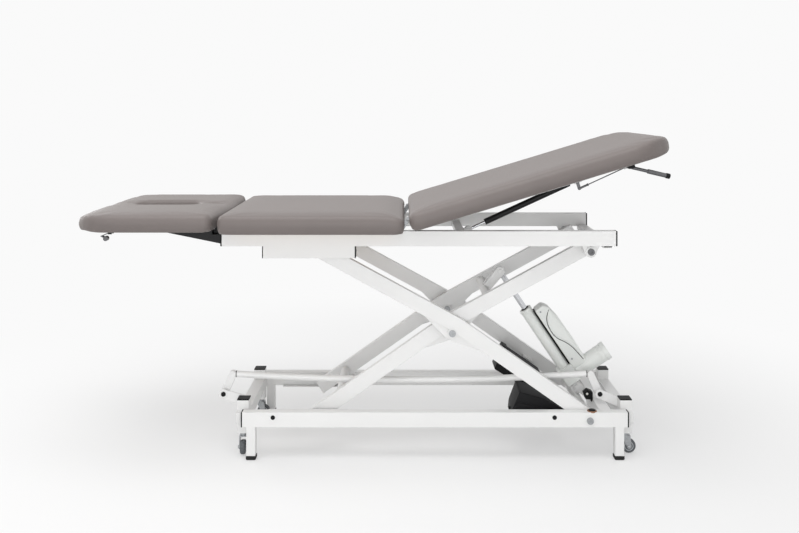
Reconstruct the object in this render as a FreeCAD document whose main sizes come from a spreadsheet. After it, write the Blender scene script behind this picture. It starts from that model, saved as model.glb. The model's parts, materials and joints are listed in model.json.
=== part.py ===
import FreeCAD, Part
import math
import os
import Sketcher

# Electric treatment couch: three padded sections on a scissor lift with castors and feet.
# Millimetres and degrees. +X runs from the head end to the leg end, +Y away from the
# side with the foot bar, +Z up. The origin is on the floor under the middle of the couch.

SIZES = {
    # Scissor lift
    "arm_half_length": 540.0, "arm_angle": 31.7, "arm_kink": 32.0, "arm_depth": 50.0,
    "arm_width": 25.0, "arm_wall": 2.5, "arm_end": 27.0, "arm_gap": 3.0,
    "boss_radius": 17.0, "gusset_reach": 120.0, "gusset_drop": 24.0, "gusset_plate": 10.0,
    "pivot_x": 720.0, "pivot_z": 132.0, "pivot_radius": 8.0, "running_gap": 0.05,
    "head_radius": 11.5, "head_thick": 6.0, "socket_radius": 5.0, "socket_depth": 4.0,
    "washer_radius": 14.0, "face_gap": 0.3, "torsion_radius": 16.0, "torsion_wall": 2.5,
    "roller_radius": 16.5, "roller_width": 18.0, "roller_gap": 0.5, "axle_radius": 6.0,
    "collar_radius": 9.0, "clip_thick": 1.5, "channel_wall": 3.0, "lower_channel_width": 27.5,
    "lower_channel_back": 166.0, "lower_channel_ahead": 104.0,
    "upper_channel_back": 173.0, "upper_channel_ahead": 132.0, "upper_channel_width": 46.5,
    "upper_collar_length": 19.5, "lower_collar_length": 5.5,
    # Base frame
    "base_rail_head_x": -445.0, "base_rail_leg_x": 846.0, "base_half_width": 235.5,
    "rail_depth": 50.0, "rail_width": 30.0, "rail_wall": 2.5, "base_rail_z": 110.0,
    "leg_head_x": -416.0, "leg_leg_x": 819.0, "leg_size": 30.0,
    "foot_height": 14.0, "foot_flange": 2.0, "foot_plug": 22.0,
    "post_offset": 5.5, "post_setback": 65.5, "post_size": 40.0, "post_top_z": 185.0,
    "post_bottom_z": 73.0, "post_plug": 25.0, "cap_thick": 4.0, "cap_spigot": 10.0,
    "base_cross_depth": 40.0, "motor_tube_x": 778.0, "motor_tube_z": 138.0,
    "blank_radius": 6.5, "blank_flange": 1.0, "blank_head_x": -342.0, "blank_leg_x": 601.0,
    "blank_z": 143.0,
    # Castors
    "wheel_radius": 24.0, "wheel_width": 18.0, "wheel_lift": 1.0, "castor_trail": 13.0,
    "fork_wall": 2.5, "fork_gap": 2.0, "fork_top": 60.0, "fork_plate": 3.0, "fork_half": 15.0,
    "fork_end_radius": 8.0, "wheel_axle_radius": 3.0, "wheel_hub_radius": 12.0,
    "tread_edge": 4.0, "castor_race_radius": 14.0,
    # Top frame
    "pivot_drop": 20.0, "top_overhang": 20.0, "top_rail_head_x": -509.0,
    "top_rail_leg_x": 802.0, "cross_width": 30.0, "cross_depth": 20.0, "cross_wall": 2.0,
    "cross_drop": 2.5, "cross_sink": 11.0, "head_spring_tube_x": -330.0, "seat_cross_x": 70.0,
    "leg_spring_tube_x": 297.0, "leg_cross_x": 782.0, "lug_half": 30.0, "lug_radius": 20.0,
    "lug_plate": 10.0, "lug_setback": 10.5, "lug_boss_gap": 3.5, "lug_boss_setback": 5.5,
    # Pads
    "pad_width": 660.0, "pad_thick": 57.0, "head_pad_thick": 50.0,
    "head_pad_length": 451.0, "seat_pad_length": 609.0, "leg_pad_length": 897.0,
    "seat_pad_head_x": -512.0, "head_gap": 21.0, "leg_gap": 20.0, "seat_gap": 0.3,
    "end_corner": 100.0, "small_corner": 26.0, "pad_edge": 20.0, "pad_crown": 3.0,
    "pad_waist": 3.0, "pad_foot": 7.0, "crown_inset": 110.0, "least_corner": 4.0,
    "board_thick": 9.0, "board_inset": 34.0, "board_cut": 60.0,
    "face_length": 232.0, "face_width": 118.0, "face_centre": 222.0,
    # Section hinges
    "hinge_drop": 24.0, "knuckle_radius": 9.0, "hinge_pin_radius": 4.0, "hinge_plate": 6.0,
    "hinge_setback": 44.5, "hinge_head": 2.0, "hinge_head_radius": 6.5,
    "notch_depth": 32.0, "notch_top": 14.0, "notch_side": 3.0,
    "hinge_arm_x": -448.0, "hinge_arm_width": 30.0,
    "leg_tilt": 16.9, "side_tube_width": 25.0, "side_tube_depth": 12.0,
    "leg_frame_start": 12.0, "leg_frame_length": 640.0, "leg_frame_cross": 596.0,
    "strip_thick": 3.0, "strip_offset": 135.0,
    "wedge_end": 5.5, "wedge_length": 245.0, "wedge_bottom": 79.8, "wedge_top": 48.5,
    "wedge_step": 31.0, "wedge_tip": 30.0, "wedge_offset": 13.0, "wedge_width": 30.0,
    "stop_plate": 3.0, "stop_drop": 89.0, "strap_length": 382.0, "strap_thick": 4.0,
    # Gas springs
    "spring_radius": 11.0, "spring_rod_radius": 5.0, "eye_radius": 10.0, "eye_width": 12.0,
    "ear_plate": 4.0, "ear_gap": 2.0, "ear_radius": 13.0, "spring_pin_radius": 4.0,
    "spring_bore_gap": 0.3, "leg_eye_x": 330.0, "leg_eye_height": 19.5,
    "leg_top_eye_along": 611.0, "leg_top_eye_drop": 67.0, "leg_spring_start": 65.0,
    "leg_spring_bore_end": 300.0, "leg_spring_rod_end": 200.0, "spring_tail": 25.0,
    "head_eye_drop": 19.5, "head_moving_eye_x": 118.0, "head_moving_eye_drop": 80.0,
    "head_spring_end": 225.0, "head_spring_bore_start": 70.0, "head_spring_rod_start": 120.0,
    # Actuator
    "lower_eye_x": 720.0, "lower_eye_z": 176.0, "upper_eye_along": 246.0, "upper_eye_rise": 52.0,
    "actuator_eye_radius": 14.0, "actuator_eye_width": 24.0, "actuator_pin_radius": 6.0,
    "actuator_neck": 10.0, "actuator_tube_radius": 21.0, "actuator_tube_end": 333.0,
    "actuator_bore_radius": 10.3, "actuator_rod_radius": 10.0, "actuator_rod_tail": 225.0,
    "gearbox_start": 20.0, "gearbox_end": 84.0, "gearbox_half": 29.0, "gearbox_round": 6.0,
    "motor_radius": 32.0, "motor_along": 46.0, "motor_length": 118.0, "motor_cap": 16.0,
    "control_start": 85.0, "control_end": 322.0, "control_near": 21.5, "control_far": 72.0,
    "control_width": 58.0, "control_slope": 34.0, "control_round": 9.0,
    "bracket_plate": 5.0, "bracket_gap": 0.5, "bracket_radius": 17.0, "bracket_low": 135.0,
    "pin_head": 4.0, "arm_tube_along": 165.0, "arm_tube_rise": 25.0, "low_tube_offset": 90.0,
    "low_tube_rise": 5.0,
    # Control and power units
    "unit_start": 140.0, "unit_end": 322.0, "unit_rise": 8.0, "unit_drop": 84.0,
    "unit_width": 91.0, "unit_gap": 3.5, "unit_round": 6.0,
    "unit_strap_start": 160.0, "unit_strap_end": 200.0, "unit_strap": 4.0,
    "power_head_x": 474.0, "power_leg_x": 668.0, "power_tall": 94.0, "power_low": 40.0,
    "power_gap": 40.5, "power_width": 113.0, "power_rake": 12.0, "power_round": 4.0,
    "flat_bar_width": 34.0, "flat_bar_thick": 4.0, "flat_bar_head_x": 503.0,
    "flat_bar_leg_x": 618.0, "flat_bar_short_y": 40.0,
    # Foot bar
    "foot_bar_setback": 50.0, "foot_bar_radius": 11.0, "foot_bar_head_x": -484.0,
    "foot_bar_leg_x": 732.0, "foot_bar_z": 254.0, "foot_bar_sag": 20.0,
    "rocker_head_x": -525.0, "rocker_leg_x": 772.0, "rocker_z": 193.0, "rocker_width": 18.0,
    "rocker_radius": 14.0, "rocker_plate": 5.0, "rocker_pin_radius": 6.0,
    "rocker_plate_radius": 16.0, "rocker_foot_z": 150.0, "rocker_foot_inset": 2.0,
    "bar_end_gap": 13.0, "bar_pin_radius": 5.0,
    "switch_x": 736.0, "switch_length": 38.0, "switch_setback": 50.0, "switch_width": 30.0,
    "switch_height": 42.0, "switch_round": 4.0,
    # Release levers
    "lever_offset": 117.0, "lever_drop": 9.0, "lever_inset": 40.0, "lever_radius": 5.5,
    "lever_length": 120.0, "lever_droop_angle": 30.0, "lever_grip_radius": 7.5, "lever_grip": 70.0,
    "bearing_length": 20.0, "bearing_depth": 16.5,
    "crank_length": 22.0, "crank_width": 8.0, "release_rod_radius": 2.5,
    "head_lever_x": 346.5, "head_lever_inset": 68.0, "head_lever_run": 31.0,
    "head_lever_fall": 13.0, "head_lever_width": 16.0, "head_lever_plate": 3.0,
    "head_lever_drop": 9.0, "knob_radius": 8.0, "knob_back": 15.5, "knob_drop": 8.0,
    "lever_pin_radius": 3.0, "lever_hub_radius": 6.0,
}

doc = FreeCAD.newDocument("TreatmentCouch")
sheet = doc.addObject("Spreadsheet::Sheet", "Sizes")
for row, (name, value) in enumerate(SIZES.items(), start=1):
    sheet.set(f"A{row}", str(value))
    sheet.setAlias(f"A{row}", name)
doc.recompute()


class Size:
    """A length or angle as a formula of named sizes, with its present value."""

    def __init__(self, text, value):
        self.text = text
        self.value = float(value)

    def __add__(self, other):
        other = as_size(other)
        return Size(f"({self.text} + {other.text})", self.value + other.value)

    def __sub__(self, other):
        other = as_size(other)
        return Size(f"({self.text} - {other.text})", self.value - other.value)

    def __mul__(self, other):
        other = as_size(other)
        return Size(f"({self.text} * {other.text})", self.value * other.value)

    def __truediv__(self, other):
        other = as_size(other)
        return Size(f"({self.text} / {other.text})", self.value / other.value)

    def __neg__(self):
        return Size(f"(-1 * {self.text})", -self.value)

    def __radd__(self, other):
        return as_size(other) + self

    def __rsub__(self, other):
        return as_size(other) - self

    def __rmul__(self, other):
        return as_size(other) * self


def as_size(number):
    if isinstance(number, Size):
        return number
    return Size(f"({number})", number)


class Named:
    """Each size of the table by its name."""

    def __getattr__(self, name):
        return Size(f"Sizes.{name}", SIZES[name])


size = Named()
ZERO = as_size(0)
QUARTER_TURN = as_size(90)
HALF_TURN = as_size(180)


def cosine(angle):
    return Size(f"cos({angle.text})", math.cos(math.radians(angle.value)))


def sine(angle):
    return Size(f"sin({angle.text})", math.sin(math.radians(angle.value)))


def slope_angle(run, rise):
    value = math.degrees(math.atan2(rise.value, run.value))
    return Size(f"atan2({rise.text}; {run.text})", value)


def span(run, rise):
    value = math.hypot(run.value, rise.value)
    return Size(f"sqrt({run.text} * {run.text} + {rise.text} * {rise.text})", value)


def turned_point(angle, along, across):
    """The point at (along, across) of a frame turned up by an angle, as level x and z."""
    x = along * cosine(angle) - across * sine(angle)
    z = along * sine(angle) + across * cosine(angle)
    return x, z


class Frame:
    """A place and direction in which pieces are set."""

    def __init__(self, text):
        self.text = text

    def at(self, x, y, z, axis=(0, 0, 1), angle=ZERO):
        return Frame(f"{self.text} * {spot(x, y, z, axis, angle)}")


def spot(x, y, z, axis=(0, 0, 1), angle=ZERO):
    x, y, z, angle = as_size(x), as_size(y), as_size(z), as_size(angle)
    return (f"create(<<placement>>; create(<<vector>>; {x.text}; {y.text}; {z.text}); "
            f"create(<<rotation>>; create(<<vector>>; {axis[0]}; {axis[1]}; {axis[2]}); "
            f"{angle.text}))")


# Places that follow from the sizes
reach = size.arm_half_length * 2
slide_x = size.pivot_x - reach * cosine(size.arm_angle)
top_pivot_z = size.pivot_z + reach * sine(size.arm_angle)
outer_arm_out = size.base_half_width - size.rail_width - size.arm_gap
outer_arm_in = outer_arm_out - size.arm_width
inner_arm_out = outer_arm_in - size.arm_gap
inner_arm_in = inner_arm_out - size.arm_width
base_rail_in = size.base_half_width - size.rail_width
top_half_width = size.base_half_width + size.top_overhang
top_rail_in = top_half_width - size.rail_width
upper_roller_y = outer_arm_out + size.upper_collar_length
lower_roller_y = inner_arm_out + size.lower_collar_length
post_y = size.base_half_width - size.post_setback
foot_bar_y = post_y - size.foot_bar_setback
switch_y = foot_bar_y - size.switch_setback
power_near_y = base_rail_in - size.power_gap
power_far_y = power_near_y - size.power_width
unit_far_y = inner_arm_in - size.unit_gap
unit_near_y = unit_far_y - size.unit_width
hinge_inner_y = top_rail_in - size.hinge_setback
wedge_inner_y = hinge_inner_y + size.wedge_offset
lever_along = size.leg_frame_length + size.lever_offset
lever_y = size.pad_width / 2 - size.lever_inset
head_lever_y = size.pad_width / 2 - size.head_lever_inset
top_rail_z = top_pivot_z + size.pivot_drop
top_rail_top = top_rail_z + size.rail_depth
head_eye_z = top_rail_z - size.head_eye_drop
leg_eye_z = top_rail_z + size.leg_eye_height
pad_bottom = top_rail_top + size.seat_gap
pad_top = pad_bottom + size.pad_thick
hinge_z = pad_top - size.hinge_drop
head_hinge_x = size.seat_pad_head_x - size.head_gap / 2
leg_pad_offset = size.leg_gap / 4
seat_pad_leg_x = size.seat_pad_head_x + size.seat_pad_length
leg_hinge_x = seat_pad_leg_x + size.leg_gap - leg_pad_offset
head_pad_leg_x = size.seat_pad_head_x - size.head_gap
head_end_x = head_pad_leg_x - size.head_pad_length
hinge_to_bottom = size.pad_thick - size.hinge_drop
leg_end_x = leg_hinge_x + turned_point(
    size.leg_tilt, leg_pad_offset + size.leg_pad_length - size.pad_waist / 2,
    size.pad_foot - hinge_to_bottom)[0]
middle_x = (head_end_x + leg_end_x) / 2

COUCH = Frame(spot(-middle_x, ZERO, ZERO))
OUTER = COUCH.at(size.pivot_x, ZERO, size.pivot_z, (0, 0, 1), HALF_TURN).at(
    ZERO, ZERO, ZERO, (0, 1, 0), -size.arm_angle)
INNER = COUCH.at(slide_x, ZERO, size.pivot_z, (0, 1, 0), -size.arm_angle)
HEAD = COUCH.at(head_hinge_x, ZERO, hinge_z)
LEG = COUCH.at(leg_hinge_x, ZERO, hinge_z, (0, 1, 0), -size.leg_tilt)

eye_along = size.arm_half_length + size.upper_eye_along
eye_run, eye_rise = turned_point(size.arm_angle, eye_along, size.upper_eye_rise)
actuator_run = slide_x + eye_run - size.lower_eye_x
actuator_rise = size.pivot_z + eye_rise - size.lower_eye_z
actuator_length = span(actuator_run, actuator_rise)
ACTUATOR = COUCH.at(size.lower_eye_x, ZERO, size.lower_eye_z, (0, 1, 0),
                    -slope_angle(actuator_run, actuator_rise))

leg_eye_run, leg_eye_rise = turned_point(
    size.leg_tilt, size.leg_top_eye_along, -size.leg_top_eye_drop)
leg_spring_run = leg_hinge_x + leg_eye_run - size.leg_eye_x
leg_spring_rise = hinge_z + leg_eye_rise - leg_eye_z
leg_spring_length = span(leg_spring_run, leg_spring_rise)
LEG_SPRING = COUCH.at(size.leg_eye_x, ZERO, leg_eye_z, (0, 1, 0),
                      -slope_angle(leg_spring_run, leg_spring_rise))

head_spring_run = head_hinge_x - size.head_moving_eye_x - size.head_spring_tube_x
head_spring_rise = hinge_z - size.head_moving_eye_drop - head_eye_z
head_spring_length = span(head_spring_run, head_spring_rise)
HEAD_SPRING = COUCH.at(size.head_spring_tube_x, ZERO, head_eye_z, (0, 1, 0),
                       -slope_angle(head_spring_run, head_spring_rise))

SUBPARTS = []
SIDES = (("near", -1), ("far", 1))


def named(item, label):
    item.Label = label
    SUBPARTS.append(item)
    return item


def ordered(ends):
    first, last = as_size(ends[0]), as_size(ends[1])
    return (first, last) if first.value < last.value else (last, first)


def mirrored(sign, *ends):
    """The two ends of a span on one side of the couch."""
    return ends[0] * sign, ends[1] * sign


def block(frame, x, y, z):
    """A block between two places along each axis."""
    item = doc.addObject("Part::Box", "Block")
    corner = []
    for side, ends in (("Length", x), ("Width", y), ("Height", z)):
        first, last = ordered(ends)
        item.setExpression(side, (last - first).text)
        corner.append(first)
    item.setExpression("Placement", f"{frame.text} * {spot(*corner)}")
    return item


def rod(frame, direction, a, b, radius, ends):
    """A cylinder along one axis, through a point given by its other two coordinates."""
    item = doc.addObject("Part::Cylinder", "Rod")
    first, last = ordered(ends)
    a, b = as_size(a), as_size(b)
    item.setExpression("Radius", as_size(radius).text)
    item.setExpression("Height", (last - first).text)
    if direction == "X":
        place = spot(first, a, b, (0, 1, 0), QUARTER_TURN)
    elif direction == "Y":
        place = spot(a, first, b, (1, 0, 0), -QUARTER_TURN)
    else:
        place = spot(a, b, first)
    item.setExpression("Placement", f"{frame.text} * {place}")
    return item


def fuse(*items):
    joined = doc.addObject("Part::MultiFuse", "Joined")
    joined.Shapes = list(items)
    joined.Refine = True
    return joined


def cut(base, *tools):
    """Take one or more pieces away from another."""
    result = doc.addObject("Part::Cut", "Trimmed")
    result.Base = base
    result.Tool = tools[0] if len(tools) == 1 else fuse(*tools)
    result.Refine = True
    return result


def loose(*items):
    """Separate equal or related solids under one name."""
    together = doc.addObject("Part::Compound", "Set")
    together.Links = list(items)
    return together


def bind(sketch, kind, geometry, point, distance):
    """Hold one coordinate of a sketch point at a distance from the sketch's origin."""
    row = sketch.addConstraint(Sketcher.Constraint(kind, -1, 1, geometry, point, distance.value))
    sketch.setExpression(f"Constraints[{row}]", distance.text)


def new_sketch(body, role, offset=ZERO):
    sketch = body.newObject("Sketcher::SketchObject", "Sketch")
    plane = [face for face in body.Origin.OriginFeatures if face.Role == role][0]
    sketch.AttachmentSupport = [(plane, "")]
    sketch.MapMode = "FlatFace"
    sketch.setExpression("AttachmentOffset.Base.z", as_size(offset).text)
    return sketch


def draw_outline(sketch, points):
    """Draw a closed outline of straight lines through points of named sizes."""
    points = [(as_size(a), as_size(b)) for a, b in points]
    first = sketch.GeometryCount
    count = len(points)
    for index in range(count):
        start, end = points[index], points[(index + 1) % count]
        sketch.addGeometry(Part.LineSegment(
            FreeCAD.Vector(start[0].value, start[1].value, 0),
            FreeCAD.Vector(end[0].value, end[1].value, 0)))
    for index in range(count):
        follower = first + (index + 1) % count
        sketch.addConstraint(Sketcher.Constraint("Coincident", first + index, 2, follower, 1))
    for index, (a, b) in enumerate(points):
        bind(sketch, "DistanceX", first + index, 1, a)
        bind(sketch, "DistanceY", first + index, 1, b)


def draw_circle(sketch, a, b, radius):
    a, b, radius = as_size(a), as_size(b), as_size(radius)
    index = sketch.addGeometry(Part.Circle(
        FreeCAD.Vector(a.value, b.value, 0), FreeCAD.Vector(0, 0, 1), radius.value))
    bind(sketch, "DistanceX", index, 3, a)
    bind(sketch, "DistanceY", index, 3, b)
    row = sketch.addConstraint(Sketcher.Constraint("Radius", index, radius.value))
    sketch.setExpression(f"Constraints[{row}]", radius.text)


def draw_cushion(sketch, start, end, half, start_corner, end_corner):
    """Draw a cushion's plan at one height: straight sides and rounded corners."""
    corners = [
        (start, -half, start_corner, 1, 1), (end, -half, end_corner, -1, 1),
        (end, half, end_corner, -1, -1), (start, half, start_corner, 1, -1)]
    stops = []
    for index, (x, y, radius, inward_x, inward_y) in enumerate(corners):
        on_side = (x, y + radius * inward_y)
        on_edge = (x + radius * inward_x, y)
        centre = (x + radius * inward_x, y + radius * inward_y)
        pair = (on_side, on_edge) if index % 2 == 0 else (on_edge, on_side)
        stops.append((pair, centre, radius))
    count = len(stops)
    for pair, centre, radius in stops:
        (ax, ay), (bx, by) = pair
        sweep = FreeCAD.Vector(centre[0].value, centre[1].value, 0)
        middle = FreeCAD.Vector((ax.value + bx.value) / 2, (ay.value + by.value) / 2, 0)
        outward = (middle - sweep).normalize() * radius.value
        sketch.addGeometry(Part.Arc(FreeCAD.Vector(ax.value, ay.value, 0), sweep + outward,
                                    FreeCAD.Vector(bx.value, by.value, 0)))
    for index in range(count):
        (ax, ay), (bx, by) = stops[index][0][1], stops[(index + 1) % count][0][0]
        sketch.addGeometry(Part.LineSegment(FreeCAD.Vector(ax.value, ay.value, 0),
                                            FreeCAD.Vector(bx.value, by.value, 0)))
    for index in range(count):
        line = count + index
        following = (index + 1) % count
        (start_x, start_y), (end_x, end_y) = stops[index][0][1], stops[following][0][0]
        bind(sketch, "DistanceX", line, 1, start_x)
        bind(sketch, "DistanceY", line, 1, start_y)
        bind(sketch, "DistanceX", line, 2, end_x)
        bind(sketch, "DistanceY", line, 2, end_y)
        arc_end = nearer_end(sketch, index, start_x, start_y)
        sketch.addConstraint(Sketcher.Constraint("Coincident", index, arc_end, line, 1))
        arc_start = nearer_end(sketch, following, end_x, end_y)
        sketch.addConstraint(Sketcher.Constraint("Coincident", following, arc_start, line, 2))
    for index, (_, _, radius) in enumerate(stops):
        row = sketch.addConstraint(Sketcher.Constraint("Radius", index, radius.value))
        sketch.setExpression(f"Constraints[{row}]", radius.text)


def nearer_end(sketch, arc, x, y):
    """Which end of an arc lies at a point: a sketch stores every arc anticlockwise."""
    point = FreeCAD.Vector(x.value, y.value, 0)
    starts = sketch.Geometry[arc].StartPoint
    ends = sketch.Geometry[arc].EndPoint
    return 1 if starts.distanceToPoint(point) < ends.distanceToPoint(point) else 2


def rectangle(a, b, width, height):
    a, b = as_size(a), as_size(b)
    return [(a - width / 2, b - height / 2), (a + width / 2, b - height / 2),
            (a + width / 2, b + height / 2), (a - width / 2, b + height / 2)]


def prism(frame, role, points, ends, discs=(), holes=(), round_radius=None):
    """A piece cut to an outline, between two places across it. Round ends are added as discs
    and round holes are cut; the long edges can be rounded."""
    body = doc.addObject("PartDesign::Body", "Profile")
    first, last = ordered(ends)
    offset = -last if role == "XZ_Plane" else first
    thickness = last - first

    def raise_from(sketch):
        feature = body.newObject("PartDesign::Pad", "Pad")
        feature.Profile = sketch
        feature.setExpression("Length", thickness.text)
        return feature

    outline = new_sketch(body, role, offset)
    draw_outline(outline, points)
    raise_from(outline)
    for a, b, radius in discs:
        disc = new_sketch(body, role, offset)
        draw_circle(disc, a, b, radius)
        raise_from(disc)
    for a, b, radius in holes:
        hole = new_sketch(body, role, offset)
        draw_circle(hole, a, b, radius)
        pocket = body.newObject("PartDesign::Pocket", "Hole")
        pocket.Profile = hole
        pocket.Type = 1
        pocket.Midplane = True
    if round_radius is not None:
        round_long_edges(body, role, round_radius)
    body.setExpression("Placement", frame.text)
    return body


def round_long_edges(body, role, radius):
    """Round the edges that run square to the outline."""
    doc.recompute()
    across = {"XZ_Plane": FreeCAD.Vector(0, 1, 0), "YZ_Plane": FreeCAD.Vector(1, 0, 0),
              "XY_Plane": FreeCAD.Vector(0, 0, 1)}[role]
    base = body.Tip
    wanted = []
    for index, edge in enumerate(base.Shape.Edges):
        straight = edge.Curve.TypeId == "Part::GeomLine"
        if straight and abs(edge.Curve.Direction.dot(across)) > 0.999:
            wanted.append(f"Edge{index + 1}")
    feature = body.newObject("PartDesign::Fillet", "Rounded")
    feature.Base = (base, wanted)
    feature.setExpression("Radius", as_size(radius).text)


def turned(frame, points):
    """A round piece revolved about its own Y axis, from points (radius, place along)."""
    body = doc.addObject("PartDesign::Body", "Turned")
    section = new_sketch(body, "XY_Plane")
    draw_outline(section, points)
    feature = body.newObject("PartDesign::Revolution", "Revolution")
    feature.Profile = section
    feature.ReferenceAxis = (section, ["V_Axis"])
    feature.Angle = 360
    body.setExpression("Placement", frame.text)
    return body


def square_tube(frame, x, y, z, wall, open_axis):
    """A rectangular tube, open at both ends along one axis."""
    inner = []
    for axis, ends in zip("XYZ", (x, y, z)):
        first, last = ordered(ends)
        inner.append((first, last) if axis == open_axis else (first + wall, last - wall))
    return cut(block(frame, x, y, z), block(frame, *inner))


def around(centre, width):
    centre, width = as_size(centre), as_size(width)
    return centre - width / 2, centre + width / 2


def socket_bolt(frame, sign, x, z, shank_start, face):
    """A pivot bolt along Y: shank from inside to a face, and a socket head outside it."""
    head_end = face + size.head_thick
    shank = rod(frame, "Y", x, z, size.pivot_radius, mirrored(sign, shank_start, face))
    head = rod(frame, "Y", x, z, size.head_radius, mirrored(sign, face, head_end))
    socket = rod(frame, "Y", x, z, size.socket_radius,
                 mirrored(sign, head_end - size.socket_depth, head_end))
    return shank, head, socket


def build_scissor():
    """Two pairs of kinked arms with their bolts, tubes, stub axles and rollers."""
    half, kink = size.arm_half_length, size.arm_kink
    depth, wall, end = size.arm_depth / 2, size.arm_wall, size.arm_end

    def band(offset, overrun):
        return [(-end - overrun, -offset), (half, kink - offset), (reach + end + overrun, -offset),
                (reach + end + overrun, offset), (half, kink + offset), (-end - overrun, offset)]

    def arm(frame, y, hole_ends):
        first, last = ordered(y)
        gusset_rest = kink - depth - size.gusset_reach * kink / half + wall / 2
        gusset_y = around((first + last) / 2, size.gusset_plate)
        shell = cut(prism(frame, "XZ_Plane", band(depth, ZERO), y),
                    prism(frame, "XZ_Plane", band(depth - wall, wall), (first + wall, last - wall)))
        gusset = prism(frame, "XZ_Plane", [
            (half - size.gusset_reach, gusset_rest),
            (half - size.boss_radius, -size.gusset_drop),
            (half + size.boss_radius, -size.gusset_drop),
            (half + size.gusset_reach, gusset_rest), (half, kink - depth + wall / 2)], gusset_y)
        bosses = [rod(frame, "Y", along, ZERO, size.boss_radius, y)
                  for along in (ZERO, half, reach)]
        drills = [rod(frame, "Y", along, ZERO, radius, (first - wall, last + wall))
                  for along, radius in hole_ends]
        return cut(fuse(shell, gusset, *bosses), *drills)

    free_hole = size.pivot_radius + size.running_gap
    strap_y = mirrored(-1, unit_far_y, outer_arm_in)
    for side, sign in SIDES:
        # The outer frame is turned half way round, so its Y runs the other way
        outer = arm(OUTER, mirrored(-sign, outer_arm_in, outer_arm_out),
                    [(ZERO, free_hole), (half, size.pivot_radius), (reach, size.axle_radius)])
        upper_end = upper_roller_y + size.roller_width
        stub = rod(OUTER, "Y", reach, ZERO, size.axle_radius,
                   mirrored(-sign, outer_arm_in, upper_end + size.face_gap + size.clip_thick))
        collar = rod(OUTER, "Y", reach, ZERO, size.collar_radius,
                     mirrored(-sign, outer_arm_out, upper_roller_y - size.face_gap))
        clip = rod(OUTER, "Y", reach, ZERO, size.collar_radius, mirrored(
            -sign, upper_end + size.face_gap, upper_end + size.face_gap + size.clip_thick))
        if side == "far":
            outer = fuse(outer, block(OUTER, (size.unit_strap_start, size.unit_strap_end), strap_y,
                                      around(ZERO, size.unit_strap)))
        named(loose(outer, fuse(stub, collar, clip)), f"outer_arm_{side}")

        inner = arm(INNER, mirrored(sign, inner_arm_in, inner_arm_out),
                    [(ZERO, size.axle_radius), (half, free_hole), (reach, free_hole)])
        lower_end = lower_roller_y + size.roller_width
        stub = rod(INNER, "Y", ZERO, ZERO, size.axle_radius,
                   mirrored(sign, inner_arm_in, lower_end + size.face_gap + size.clip_thick))
        collar = rod(INNER, "Y", ZERO, ZERO, size.collar_radius,
                     mirrored(sign, inner_arm_out, lower_roller_y - size.face_gap))
        clip = rod(INNER, "Y", ZERO, ZERO, size.collar_radius, mirrored(
            sign, lower_end + size.face_gap, lower_end + size.face_gap + size.clip_thick))
        named(loose(inner, fuse(stub, collar, clip)), f"inner_arm_{side}")

    across = (-outer_arm_in, outer_arm_in)
    named(cut(rod(OUTER, "Y", ZERO, ZERO, size.torsion_radius, across),
              rod(OUTER, "Y", ZERO, ZERO, size.torsion_radius - size.torsion_wall, across)),
          "outer_torsion_tube")

    # The inner pair's tubes: the upper one carries the actuator's ears
    across = (-inner_arm_in, inner_arm_in)
    tube_along = half + size.arm_tube_along
    bore = size.torsion_radius - size.torsion_wall
    low_tube = cut(
        rod(INNER, "Y", size.low_tube_offset, size.low_tube_rise, size.torsion_radius, across),
        rod(INNER, "Y", size.low_tube_offset, size.low_tube_rise, bore, across))
    high_tube = cut(rod(INNER, "Y", tube_along, size.arm_tube_rise, size.torsion_radius, across),
                    rod(INNER, "Y", tube_along, size.arm_tube_rise, bore, across))
    ear_in = size.actuator_eye_width / 2 + size.bracket_gap
    ear_out = ear_in + size.bracket_plate
    half_tube = size.torsion_radius - size.bracket_gap
    parts = [high_tube]
    for sign in (-1, 1):
        ear = prism(INNER, "XZ_Plane", [
            (tube_along, size.arm_tube_rise - half_tube),
            (eye_along, size.upper_eye_rise - size.bracket_radius),
            (eye_along, size.upper_eye_rise + size.bracket_radius),
            (tube_along, size.arm_tube_rise + half_tube)],
            mirrored(sign, ear_in, ear_out),
            discs=[(eye_along, size.upper_eye_rise, size.bracket_radius)])
        clear = rod(INNER, "Y", tube_along, size.arm_tube_rise, bore,
                    mirrored(sign, ear_in, ear_out))
        stub = rod(INNER, "Y", eye_along, size.upper_eye_rise, size.actuator_pin_radius,
                   mirrored(sign, ear_in, ear_out))
        head = rod(INNER, "Y", eye_along, size.upper_eye_rise, size.collar_radius,
                   mirrored(sign, ear_out, ear_out + size.pin_head))
        parts += [cut(ear, clear), stub, head]
    named(loose(fuse(*parts), low_tube), "inner_arm_tubes")

    bolts = []
    for _, sign in SIDES:
        shank, head, socket = socket_bolt(OUTER, -sign, half, ZERO, inner_arm_in, outer_arm_out)
        washer = rod(OUTER, "Y", half, ZERO, size.washer_radius, mirrored(
            -sign, inner_arm_out + size.face_gap, outer_arm_in))
        nut = rod(OUTER, "Y", half, ZERO, size.head_radius, mirrored(
            -sign, inner_arm_in - size.face_gap - size.head_thick, inner_arm_in - size.face_gap))
        link = rod(OUTER, "Y", half, ZERO, size.pivot_radius, mirrored(
            -sign, inner_arm_in - size.face_gap - size.head_thick, inner_arm_in))
        bolts.append(cut(fuse(shank, head, washer, nut, link), socket))
    named(loose(*bolts), "centre_pivot_bolts")

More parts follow.
